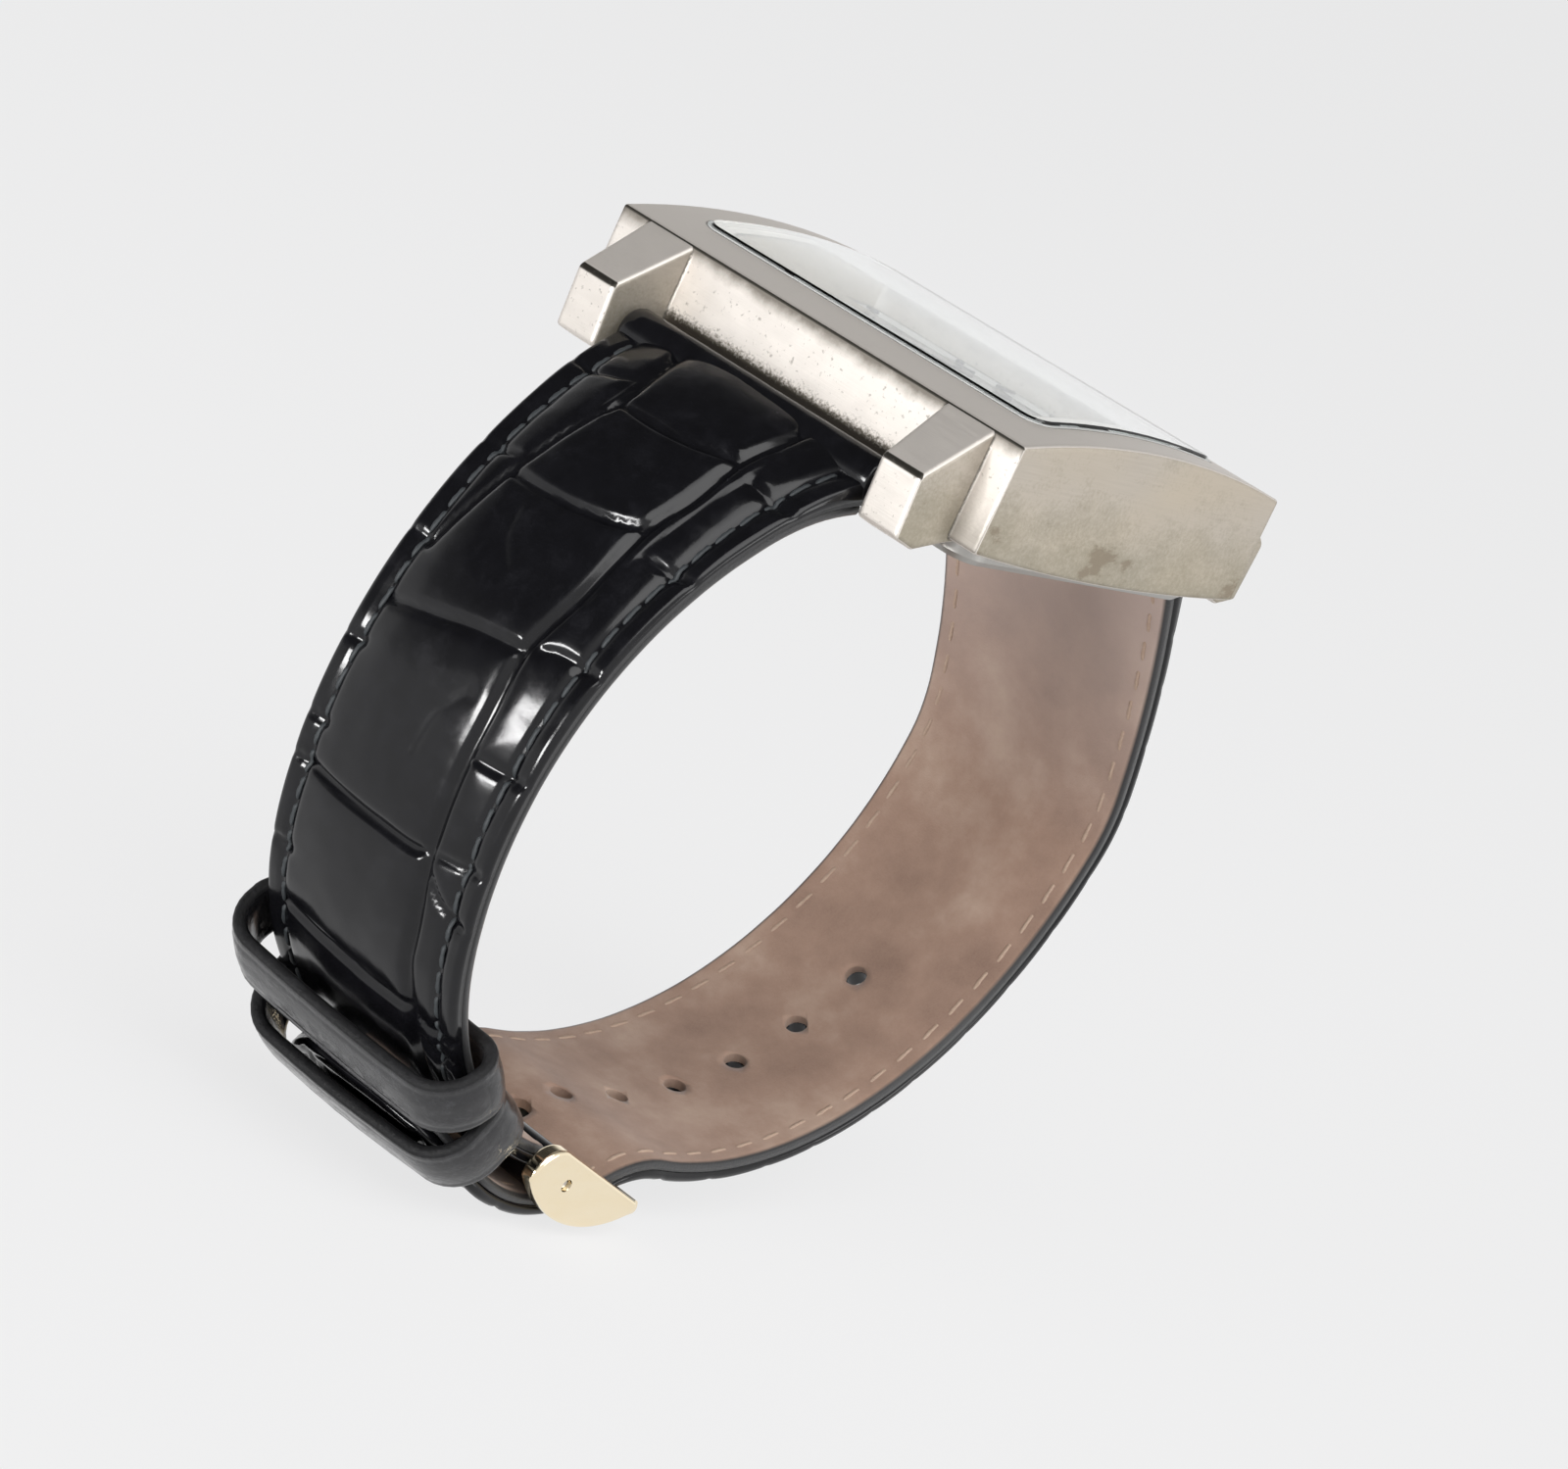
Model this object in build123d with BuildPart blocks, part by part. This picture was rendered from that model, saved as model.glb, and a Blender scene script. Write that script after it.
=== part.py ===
# Rectangular wristwatch on a padded leather strap, shown buckled closed.
# X points to 3 o'clock, Y to 12 o'clock and Z out of the dial, in millimetres.
# The origin is the centre of the case back's outer face.
import os
from math import ceil, cos, pi, radians, sin, tan

from build123d import *

os.makedirs("parts", exist_ok=True)

# Case
case_width = 36.0
case_length = 29.1
end_height = 8.6            # top edge of the 12 and 6 o'clock ends
crown_rise = 1.35           # rise of the arched top above its ends
end_bottom = 1.35           # bottom edge of the ends
belly_drop = 0.6            # drop of the flank's bottom edge at its middle
flank_round = 0.25
cavity_width = 28.4
cavity_length = 19.4
cavity_corner = 1.0
rehaut_width = 27.2         # opening through which the dial shows
rehaut_length = 18.2
rehaut_corner = 1.4

# Lugs
lug_reach = 19.1            # lug tip from the case centre
lug_root_in = 11.3
lug_root_out = 15.6
lug_tip_in = 12.0
lug_tip_out = 15.45
lug_base = 0.6
lug_heel = 0.1                # lowest line of the lug's underside
lug_heel_reach = 17.2
lug_tip_top = 4.75
lug_crest_reach = 19.4         # lug's top end, leaning out over its base
lug_crest_round = 0.6
lug_round = 0.3
lug_bury = 2.0
bar_hole_depth = 1.5

# Crystal and its gasket
crystal_width = 30.3
crystal_length = 20.2
crystal_corner = 1.5
crystal_thickness = 1.3
crystal_proud = 0.25        # stands above the case's top
crystal_bevel = 0.12
gasket_wall = 0.2
gasket_sink = 0.2           # top of the gasket below the crystal's top
seat_gap = 0.02             # between parts that are pressed together

# Dial, markers and hands
dial_thickness = 0.4
dial_top = 6.4
dial_hole_radius = 1.05
marker_height = 0.25
marker_width = 0.55
marker_long = 1.7
marker_short = 1.1
marker_inset = 0.9          # from the rehaut's edge to a marker
dial_foot_radius = 0.4
dial_foot_length = 0.8
dial_foot_x = 7.6
dial_foot_y = -4.6
hand_thickness = 0.16
hour_hand_height = 6.75
minute_hand_height = 7.2
hour_hand_length = 5.4
minute_hand_length = 8.0
hand_tail = 1.9
hand_width = 0.9
minute_hand_width = 0.7
hand_boss_radius = 0.95
minute_boss_radius = 0.75
shown_hour = 10
shown_minute = 9

# Movement and its holder
holder_gap = 0.12           # holder to the cavity's wall
movement_width = 17.8
movement_length = 15.2
movement_corner = 3.0
movement_gap = 0.1
movement_top = 5.0
plate_thickness = 1.6
bridge_thickness = 0.7
bridge_gap = 0.04
bridge_width = 6.6
bridge_length = 10.2
bridge_corner = 1.5
bridge_x = 4.9
bridge_y = -1.8
bridge_screw_x = 2.3
bridge_screw_y = 4.2
holder_ledge = 0.3          # reaches over the movement's edge
battery_radius = 4.75
battery_height = 2.1
battery_x = -3.7
battery_y = -2.3
battery_gap = 0.15
battery_step = 0.35
battery_step_height = 0.5
clamp_width = 2.6
clamp_thickness = 0.2
clamp_start_x = -7.9
clamp_end_x = 3.5
clamp_screw_x = 2.6
coil_radius = 0.95
coil_length = 7.0
coil_core = 0.35            # core's stub beyond the flanges
coil_core_width = 1.2
coil_core_height = 0.5
coil_flange = 0.35
coil_flange_rim = 0.12
coil_height = 4.0
coil_x = 3.6
coil_y = 5.6
coil_gap = 0.25
board_thickness = 0.25
board_width = 7.4
board_length = 4.0
board_corner = 1.2
board_x = -4.2
board_y = 4.9
chip_size = 1.9
chip_height = 0.35
screw_head_radius = 0.6
screw_head_height = 0.3
screw_shank_radius = 0.3
screw_length = 1.9
screw_slot = 0.16
running_gap = 0.03          # radial, for turning parts

# Motion work: cannon pinion, minute wheel and hour wheel
cannon_teeth = 12
minute_wheel_teeth = 36
minute_pinion_teeth = 10
hour_wheel_teeth = 40
motion_module = 0.12
gear_thickness = 0.3
gear_step = 0.08            # between one gear and the one above it
tooth_share = 0.4           # tooth's share of the pitch
tip_share = 0.2             # tip's share of the pitch
root_spread_share = 1.25    # widening of a tooth at its root
addendum_share = 0.85       # of the module
dedendum_share = 1.1
minute_wheel_bearing = -40.0    # degrees from 3 o'clock
arbor_radius = 0.22
cannon_wall = 0.2
hour_tube_wall = 0.2
minute_post_radius = 0.3

# Crown, stem and setting pinion
stem_height = 4.05
stem_radius = 0.45
stem_square = 0.6
square_gap = 0.04
stem_inner_end = 5.6
stem_square_length = 3.6
stem_thread = 0.7           # stem's length inside the crown's head
setting_pinion_radius = 0.9
setting_pinion_gap = 0.15
setting_pinion_length = 1.2
setting_pinion_start = 7.0
setting_teeth = 14
crown_radius = 2.6
crown_length = 3.0
crown_clear = 0.15          # crown to the case flank
crown_bore_depth = 1.9
crown_flutes = 28
crown_flute_radius = 0.2
crown_edge = 0.3
tube_radius = 1.1
tube_wall = 0.4
tube_length = 4.2
tube_stand = 2.0            # tube outside the case flank
crown_gasket_wall = 0.35
crown_gasket_length = 0.5
crown_gasket_inset = 0.15

# Case back
back_width = 32.6
back_length = 25.6
back_thickness = 1.5
back_corner = 2.0
back_gap = 0.1
back_bevel = 0.4
spigot_height = 0.5
spigot_wall = 0.9           # room for the gasket round the spigot
back_screw_x = 12.4
back_screw_radius = 0.5
back_screw_head = 0.95
back_screw_cone = 0.45
back_screw_length = 3.2
back_screw_slot = 0.28
thread_gap = 0.02

# Spring bars
bar_reach = 16.9            # lug bars from the case centre
bar_height = 2.4
bar_radius = 0.75
bar_bore = 0.55
bar_lip = 0.3               # rolled-in end of the tube
tip_radius = 0.4
tip_gap = 0.05
tip_guide_radius = 0.5
tip_guide_length = 1.3
lug_tip_end = 12.5          # pin's outer end at a lug
cheek_tip_end = 10.25       # pin's outer end at the buckle
tube_end_gap = 0.12         # tube to the lug or cheek

# Strap
strap_lug_half = 11.3
strap_buckle_half = 8.9
taper_run = 40.0
taper_power = 2.4
pad_run = 55.0
pad_power = 1.3
leather_edge = 1.0
lug_edge = 1.9              # leather's edge beside the lug
edge_run = 9.0
leather_crown = 1.12
pad_crown = 2.6
lining_thickness = 0.7
glue_line = 0.04
eye_radius = 1.6
eye_gap = 0.05
strap_start_y = 17.2
strap_start_z = 1.1
short_start_heading = -13.0
long_start_heading = 211.0
short_lug_bend_radius = 14.0
short_side_radius = 29.0
short_buckle_bend_radius = 20.0
long_lug_bend_radius = 8.0
long_side_radius = 48.0
long_corner_radius = 11.5
long_base_radius = 29.0
long_dip_radius = 7.8
long_tail_radius = 13.9
tail_straight = 1.9
tip_length = 6.5
tip_blunt = 1.6             # half width of the strap's very end
tip_power = 2.2
tip_section_shares = (1, 0.75, 0.5, 0.3, 0.14, 0.04, 0)    # sections back from the tip
section_pitch = 4.6         # most length between two cross sections
section_turn = 11.0         # most turn between them, in degrees
hole_radius = 0.8
hole_pitch = 5.9
last_hole_from_tip = 10.0
hole_count = 8
worn_hole_index = 1         # the hole that holds the tang, from the tip
worn_hole_length = 6.0
worn_hole_half = 1.0

# Buckle
buckle_bar_y = 14.6
buckle_bar_z = -47.25
buckle_inner_half = 9.3
cheek_thickness = 1.2
cheek_toe_reach = 8.9
cheek_toe_drop = 1.55
cheek_brow_reach = 0.7
cheek_brow_rise = 2.25
cheek_heel_reach = 3.6
cheek_heel_rise = 0.25
cheek_shoulder_reach = 2.9
cheek_shoulder_rise = 1.95
cheek_belly_back = 2.0
cheek_belly_drop = 3.0
cheek_corner = 0.5
cheek_round = 0.3
front_bar_width = 1.9
front_bar_height = 1.0
front_bar_reach = 8.1
front_bar_drop = 2.05
front_bar_tilt = -19.0
front_bar_round = 0.4
tang_notch_gap = 0.06
tang_width = 1.6
tang_thickness = 0.85
tang_eye_radius = 1.35
tang_reach = 9.4            # tang's tip from the bar's axis
tang_slope = 19.7           # degrees
tang_heel_high = 0.3        # top of the tang above the bar's axis
tang_gap = 0.12
fold_notch_half = 1.3

# Keepers
keeper_inner_half = 9.7
keeper_leather = 1.35
keeper_play = 0.35          # strap lining to the keeper's inner face
keeper_round = 1.0
keeper_outer_round = 2.0
keeper_bow = 0.4            # rise of the outer side's middle
keeper_edge = 0.25
sliding_keeper_station = 49.2
sliding_keeper_width = 4.6
sliding_keeper_room = 2.7
sliding_keeper_skew = 4.4
fixed_keeper_station = 54.9
fixed_keeper_width = 4.8
fixed_keeper_room = 4.4
fixed_keeper_skew = 3.6

overrun = 1.0

# Worked-out sizes
half_width = case_width / 2
half_length = case_length / 2
top_radius = (half_length**2 + crown_rise**2) / (2 * crown_rise)
top_centre = end_height + crown_rise - top_radius
crystal_top_radius = top_radius + crystal_proud
crystal_floor_radius = crystal_top_radius - crystal_thickness
pocket_width = crystal_width + 2 * (gasket_wall + seat_gap)
pocket_length = crystal_length + 2 * (gasket_wall + seat_gap)
case_peak = end_height + crown_rise
dial_bottom = dial_top - dial_thickness
lug_bars = {"12": bar_reach, "6": -bar_reach}
back_screw_y = (cavity_length + back_length) / 4    # midway between the cavity's wall and the back's edge
# Each run of a strap's seam line: radius, and turn in degrees, positive to the left
short_runs = [(short_lug_bend_radius, -29), (short_side_radius, -66), (short_buckle_bend_radius, -66)]
long_runs = [
    (long_lug_bend_radius, 20),
    (long_side_radius, 22),
    (long_corner_radius, 24),
    (long_base_radius, 88.5),
    (long_dip_radius, -34.5),
    (long_tail_radius, 68.5),
]


def lined_path(plane_start, heading, runs, straight=None):
    """Chain of tangent arcs in the YZ plane, each run starting where the last one ends."""
    with BuildLine(Plane.YZ) as path:
        point = Vector(*plane_start)
        for radius, turn in runs:
            way = (cos(radians(heading)), sin(radians(heading)))
            JernArc(start=(point.X, point.Y), tangent=way, radius=radius, arc_size=turn)
            side = 1 if turn > 0 else -1
            start_angle = heading - side * 90
            heading += turn
            end_angle = heading - side * 90
            point += Vector(
                radius * (cos(radians(end_angle)) - cos(radians(start_angle))),
                radius * (sin(radians(end_angle)) - sin(radians(start_angle))),
            )
        if straight:
            PolarLine((point.X, point.Y), straight, heading)
    return path.wires()[0]


def along(path, distance, side):
    """Plane square to a strap's seam line, with its Y axis pointing away from the wrist."""
    here = path.position_at(distance, position_mode=PositionMode.LENGTH)
    way = path.tangent_at(distance, position_mode=PositionMode.LENGTH)
    return Plane(origin=here, x_dir=(-side, 0, 0), z_dir=way)


def strap_half(distance):
    left = max(0, 1 - distance / taper_run)
    return strap_buckle_half + (strap_lug_half - strap_buckle_half) * left**taper_power


def edge_height(distance):
    left = max(0, 1 - distance / edge_run)
    return leather_edge + (lug_edge - leather_edge) * left**2


def pad_height(distance):
    left = max(0, 1 - distance / pad_run)
    return leather_crown + (pad_crown - leather_crown) * left**pad_power


short_path = lined_path((strap_start_y, strap_start_z), short_start_heading, short_runs)
long_path = lined_path((-strap_start_y, strap_start_z), long_start_heading, long_runs, tail_straight)


def bar_axis_plane(reach, height, x):
    return Plane(origin=(x, reach, height), x_dir=(0, 1, 0), z_dir=(1, 0, 0))


def toothed(teeth, module):
    """Outline of a straight-sided toothed wheel."""
    pitch_radius = teeth * module / 2
    tip = pitch_radius + addendum_share * module
    root = pitch_radius - dedendum_share * module
    step = 2 * pi / teeth
    points = []
    for index in range(teeth):
        middle = index * step
        flank = ((root, -tooth_share), (tip, -tip_share), (tip, tip_share), (root, tooth_share))
        for radius, share in flank:
            spread = root_spread_share if radius == root else 1
            angle = middle + share * step / 2 * spread
            points.append((radius * cos(angle), radius * sin(angle)))
    with BuildSketch() as wheel:
        with BuildLine():
            Polyline(*points, close=True)
        make_face()
    return wheel.sketch


# Case
with BuildPart() as lugs:
    with BuildSketch(Plane.XY):
        with BuildLine():
            Polyline(
                (lug_root_in, half_length - lug_bury),
                (lug_root_out, half_length - lug_bury),
                (lug_root_out, half_length),
                (lug_tip_out, lug_crest_reach),
                (lug_tip_in, lug_crest_reach),
                (lug_root_in, half_length),
                close=True,
            )
        make_face()
    extrude(amount=end_height)
    with BuildSketch(Plane.YZ):
        with BuildLine():
            Polyline(
                (half_length - lug_bury, end_bottom),
                (half_length - lug_bury, end_height - flank_round),
                (half_length, end_height - flank_round / 2),
                (lug_crest_reach, lug_tip_top),
                (lug_reach, lug_base),
                (lug_heel_reach, lug_heel),
                (half_length, lug_base + lug_round),
                close=True,
            )
        make_face()
    extrude(amount=case_width, mode=Mode.INTERSECT)
    fillet(edges().filter_by(Axis.X).sort_by(Axis.Y)[-1], lug_crest_round)
    fillet(edges().filter_by(lambda edge: edge.center().Y > half_length + lug_round), lug_round)
    with BuildSketch(bar_axis_plane(bar_reach, bar_height, 0)):
        Circle(tip_radius + tip_gap)
    extrude(amount=lug_tip_in + bar_hole_depth, mode=Mode.SUBTRACT)
    mirror(about=Plane.YZ)
    mirror(about=Plane.XZ)

with BuildPart() as crystal_pocket:
    with BuildSketch(Plane.XY.offset(dial_top)):
        RectangleRounded(pocket_width, pocket_length, crystal_corner + gasket_wall)
    extrude(amount=case_peak)
    with BuildSketch(Plane.YZ):
        with Locations((0, top_centre)):
            Circle(crystal_floor_radius)
    extrude(amount=case_width, both=True, mode=Mode.SUBTRACT)

with BuildPart() as mid_case:
    with BuildSketch(Plane.YZ):
        with BuildLine():
            ThreePointArc((-half_length, end_height), (0, case_peak), (half_length, end_height))
            Line((half_length, end_height), (half_length, end_bottom))
            ThreePointArc(
                (half_length, end_bottom), (0, end_bottom - belly_drop), (-half_length, end_bottom)
            )
            Line((-half_length, end_bottom), (-half_length, end_height))
        make_face()
    extrude(amount=half_width, both=True)
    fillet(edges(), flank_round)
    add(lugs.part)
    with BuildSketch(Plane.XY.offset(back_thickness)):
        RectangleRounded(cavity_width, cavity_length, cavity_corner)
    extrude(amount=dial_top - back_thickness, mode=Mode.SUBTRACT)
    with BuildSketch(Plane.XY.offset(dial_top)):
        RectangleRounded(rehaut_width, rehaut_length, rehaut_corner)
    extrude(amount=case_peak, mode=Mode.SUBTRACT)
    add(crystal_pocket.part, mode=Mode.SUBTRACT)
    with BuildSketch(Plane.XY.offset(back_thickness)):
        RectangleRounded(back_width + 2 * back_gap, back_length + 2 * back_gap, back_corner)
    extrude(amount=-(back_thickness + overrun), mode=Mode.SUBTRACT)
    with BuildSketch(bar_axis_plane(0, stem_height, 0)):
        Circle(tube_radius)
    extrude(amount=case_width, mode=Mode.SUBTRACT)
    with BuildSketch(Plane.XY.offset(back_thickness)):
        with GridLocations(2 * back_screw_x, 2 * back_screw_y, 2, 2):
            Circle(back_screw_radius + thread_gap)
    extrude(amount=back_screw_length, mode=Mode.SUBTRACT)
mid_case.part.label = "mid_case"
export_step(mid_case.part, "parts/mid_case.step")

with BuildPart() as crystal:
    with BuildSketch(Plane.XY.offset(dial_top)):
        RectangleRounded(crystal_width, crystal_length, crystal_corner)
    extrude(amount=case_peak)
    with BuildSketch(Plane.YZ):
        with Locations((0, top_centre)):
            Circle(crystal_top_radius)
            Circle(crystal_floor_radius + seat_gap, mode=Mode.SUBTRACT)
    extrude(amount=case_width, both=True, mode=Mode.INTERSECT)
    chamfer(faces().sort_by(Axis.Z)[-1].edges(), crystal_bevel)
crystal.part.label = "crystal"
export_step(crystal.part, "parts/crystal.step")

with BuildPart() as crystal_gasket:
    with BuildSketch(Plane.XY.offset(dial_top)):
        RectangleRounded(pocket_width - seat_gap, pocket_length - seat_gap, crystal_corner + gasket_wall)
        RectangleRounded(
            crystal_width + seat_gap, crystal_length + seat_gap, crystal_corner, mode=Mode.SUBTRACT
        )
    extrude(amount=case_peak)
    with BuildSketch(Plane.YZ):
        with Locations((0, top_centre)):
            Circle(crystal_top_radius - gasket_sink)
            Circle(crystal_floor_radius + seat_gap, mode=Mode.SUBTRACT)
    extrude(amount=case_width, both=True, mode=Mode.INTERSECT)
crystal_gasket.part.label = "crystal_gasket"
export_step(crystal_gasket.part, "parts/crystal_gasket.step")

# Case back, its gasket and screws
spigot_width = cavity_width - 2 * spigot_wall
spigot_length = cavity_length - 2 * spigot_wall
with BuildPart() as case_back:
    with BuildSketch():
        RectangleRounded(back_width, back_length, back_corner)
    extrude(amount=back_thickness)
    chamfer(faces().sort_by(Axis.Z)[0].edges(), back_bevel)
    with BuildSketch(Plane.XY.offset(back_thickness)):
        RectangleRounded(spigot_width, spigot_length, cavity_corner)
    extrude(amount=spigot_height)
    with GridLocations(2 * back_screw_x, 2 * back_screw_y, 2, 2):
        with Locations(Plane.XY.rotated((180, 0, 0))):
            CounterSinkHole(
                back_screw_radius + seat_gap, back_screw_head + seat_gap, depth=back_thickness + overrun
            )
case_back.part.label = "case_back"
export_step(case_back.part, "parts/case_back.step")

with BuildPart() as case_back_gasket:
    with BuildSketch(Plane.XY.offset(back_thickness)):
        RectangleRounded(cavity_width - 2 * seat_gap, cavity_length - 2 * seat_gap, cavity_corner)
        RectangleRounded(
            spigot_width + 2 * seat_gap, spigot_length + 2 * seat_gap, cavity_corner, mode=Mode.SUBTRACT
        )
    extrude(amount=spigot_height)
case_back_gasket.part.label = "case_back_gasket"
export_step(case_back_gasket.part, "parts/case_back_gasket.step")

with BuildPart() as case_back_screws:
    with GridLocations(2 * back_screw_x, 2 * back_screw_y, 2, 2):
        Cylinder(
            back_screw_radius, back_screw_length, align=(Align.CENTER, Align.CENTER, Align.MIN)
        )
        Cone(
            back_screw_head,
            back_screw_radius,
            back_screw_cone,
            align=(Align.CENTER, Align.CENTER, Align.MIN),
        )
    with BuildSketch():
        with GridLocations(2 * back_screw_x, 2 * back_screw_y, 2, 2):
            Rectangle(2 * back_screw_head, back_screw_slot)
    extrude(amount=back_screw_cone / 2, mode=Mode.SUBTRACT)
case_back_screws.part.label = "case_back_screws"
export_step(case_back_screws.part, "parts/case_back_screws.step")

# Dial, markers and hands
with BuildPart() as dial:
    with BuildSketch(Plane.XY.offset(dial_bottom)):
        RectangleRounded(cavity_width - 2 * seat_gap, cavity_length - 2 * seat_gap, cavity_corner)
        Circle(dial_hole_radius, mode=Mode.SUBTRACT)
    extrude(amount=dial_thickness - seat_gap)
    with BuildSketch(Plane.XY.offset(dial_bottom)):
        with Locations((dial_foot_x, dial_foot_y), (-dial_foot_x, -dial_foot_y)):
            Circle(dial_foot_radius)
    extrude(amount=-(dial_bottom - movement_top + dial_foot_length))
dial.part.label = "dial"
export_step(dial.part, "parts/dial.step")

marker_x = rehaut_width / 2 - marker_inset
marker_y = rehaut_length / 2 - marker_inset
with BuildPart() as hour_markers:
    for hour in range(12):
        clock_angle = radians(90 - hour * 30)
        quarter = hour % 3 == 0
        length = marker_long if quarter else marker_short
        # Each marker lies on the ray of its hour, just inside the rectangular rim
        reach = min(
            marker_x / max(abs(cos(clock_angle)), seat_gap), marker_y / max(abs(sin(clock_angle)), seat_gap)
        )
        spot = Plane.XY.offset(dial_top)
        with BuildSketch(spot):
            with Locations(
                Location((
                    (reach - length / 2) * cos(clock_angle),
                    (reach - length / 2) * sin(clock_angle),
                ), 90 - hour * 30)
            ):
                Rectangle(length, marker_width * (2 if hour == 0 else 1))
    extrude(amount=marker_height)
    chamfer(faces().filter_by(Axis.Z).group_by(Axis.Z)[-1].edges(), marker_height / 3)
hour_markers.part.label = "hour_markers"
export_step(hour_markers.part, "parts/hour_markers.step")


def hand_outline(length, width, tail):
    """Straight tapered hand pointing along X."""
    with BuildSketch() as blade:
        with BuildLine():
            Polyline(
                (-tail, width / 4), (0, width / 2), (length, width / 8),
                (length, -width / 8), (0, -width / 2), (-tail, -width / 4), close=True,
            )
        make_face()
    return blade.sketch


shown_turn = shown_hour + shown_minute / 60
hour_angle = 90 - shown_turn * 30
minute_angle = 90 - shown_minute * 6
cannon_bore = arbor_radius + running_gap
cannon_radius = cannon_bore + cannon_wall
hour_bore = cannon_radius + running_gap
hour_tube_radius = hour_bore + hour_tube_wall

with BuildPart() as hour_hand:
    with BuildSketch(Plane.XY.offset(hour_hand_height).rotated((0, 0, hour_angle))):
        add(hand_outline(hour_hand_length, hand_width, hand_tail))
        Circle(hand_boss_radius)
        Circle(hour_tube_radius, mode=Mode.SUBTRACT)
    extrude(amount=hand_thickness)
hour_hand.part.label = "hour_hand"
export_step(hour_hand.part, "parts/hour_hand.step")

with BuildPart() as minute_hand:
    with BuildSketch(Plane.XY.offset(minute_hand_height).rotated((0, 0, minute_angle))):
        add(hand_outline(minute_hand_length, minute_hand_width, hand_tail))
        Circle(minute_boss_radius)
        Circle(cannon_radius, mode=Mode.SUBTRACT)
    extrude(amount=hand_thickness)
minute_hand.part.label = "minute_hand"
export_step(minute_hand.part, "parts/minute_hand.step")

# Motion work
hour_module = motion_module * (cannon_teeth + minute_wheel_teeth) / (minute_pinion_teeth + hour_wheel_teeth)
centre_distance = motion_module * (cannon_teeth + minute_wheel_teeth) / 2
gear_level = movement_top + gear_step
upper_level = gear_level + gear_thickness + gear_step
minute_wheel_at = (
    centre_distance * cos(radians(minute_wheel_bearing)),
    centre_distance * sin(radians(minute_wheel_bearing)),
)
# A tooth of the driver points at the wheel, and a gap of the wheel points back
wheel_phase = minute_wheel_bearing + 180 + 180 / minute_wheel_teeth
pinion_phase = minute_wheel_bearing + 180
hour_phase = minute_wheel_bearing + 180 / hour_wheel_teeth

with BuildPart() as cannon_pinion:
    with BuildSketch(Plane.XY.offset(gear_level).rotated((0, 0, minute_wheel_bearing))):
        add(toothed(cannon_teeth, motion_module))
    extrude(amount=gear_thickness)
    with BuildSketch(Plane.XY.offset(gear_level)):
        Circle(cannon_radius - seat_gap)
    extrude(amount=minute_hand_height + hand_thickness - gear_level)
    with BuildSketch(Plane.XY.offset(gear_level)):
        Circle(cannon_bore)
    extrude(amount=minute_hand_height, mode=Mode.SUBTRACT)
cannon_pinion.part.label = "cannon_pinion"
export_step(cannon_pinion.part, "parts/cannon_pinion.step")

with BuildPart() as minute_wheel:
    with BuildSketch(Plane(origin=(*minute_wheel_at, gear_level)).rotated((0, 0, wheel_phase))):
        add(toothed(minute_wheel_teeth, motion_module))
    extrude(amount=gear_thickness)
    with BuildSketch(Plane(origin=(*minute_wheel_at, gear_level)).rotated((0, 0, pinion_phase))):
        add(toothed(minute_pinion_teeth, hour_module))
    extrude(amount=upper_level + gear_thickness - gear_level)
    with BuildSketch(Plane(origin=(*minute_wheel_at, gear_level))):
        Circle(minute_post_radius)
    extrude(amount=dial_bottom - gear_level, mode=Mode.SUBTRACT)
minute_wheel.part.label = "minute_wheel"
export_step(minute_wheel.part, "parts/minute_wheel.step")

with BuildPart() as hour_wheel:
    with BuildSketch(Plane.XY.offset(upper_level).rotated((0, 0, hour_phase))):
        add(toothed(hour_wheel_teeth, hour_module))
    extrude(amount=gear_thickness)
    with BuildSketch(Plane.XY.offset(upper_level)):
        Circle(hour_tube_radius - seat_gap)
    extrude(amount=hour_hand_height + hand_thickness - upper_level)
    with BuildSketch(Plane.XY.offset(upper_level)):
        Circle(hour_bore)
    extrude(amount=hour_hand_height, mode=Mode.SUBTRACT)
hour_wheel.part.label = "hour_wheel"
export_step(hour_wheel.part, "parts/hour_wheel.step")

# Movement and its holder
plate_bottom = movement_top - plate_thickness
bridge_top = plate_bottom - bridge_gap
bridge_bottom = bridge_top - bridge_thickness
battery_top = bridge_bottom + seat_gap + battery_height
battery_spot = (battery_x, battery_y)
coil_span = coil_length + 2 * coil_core
pinion_window = setting_pinion_length + 2 * setting_pinion_gap
pinion_middle = setting_pinion_start + setting_pinion_length / 2

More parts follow.
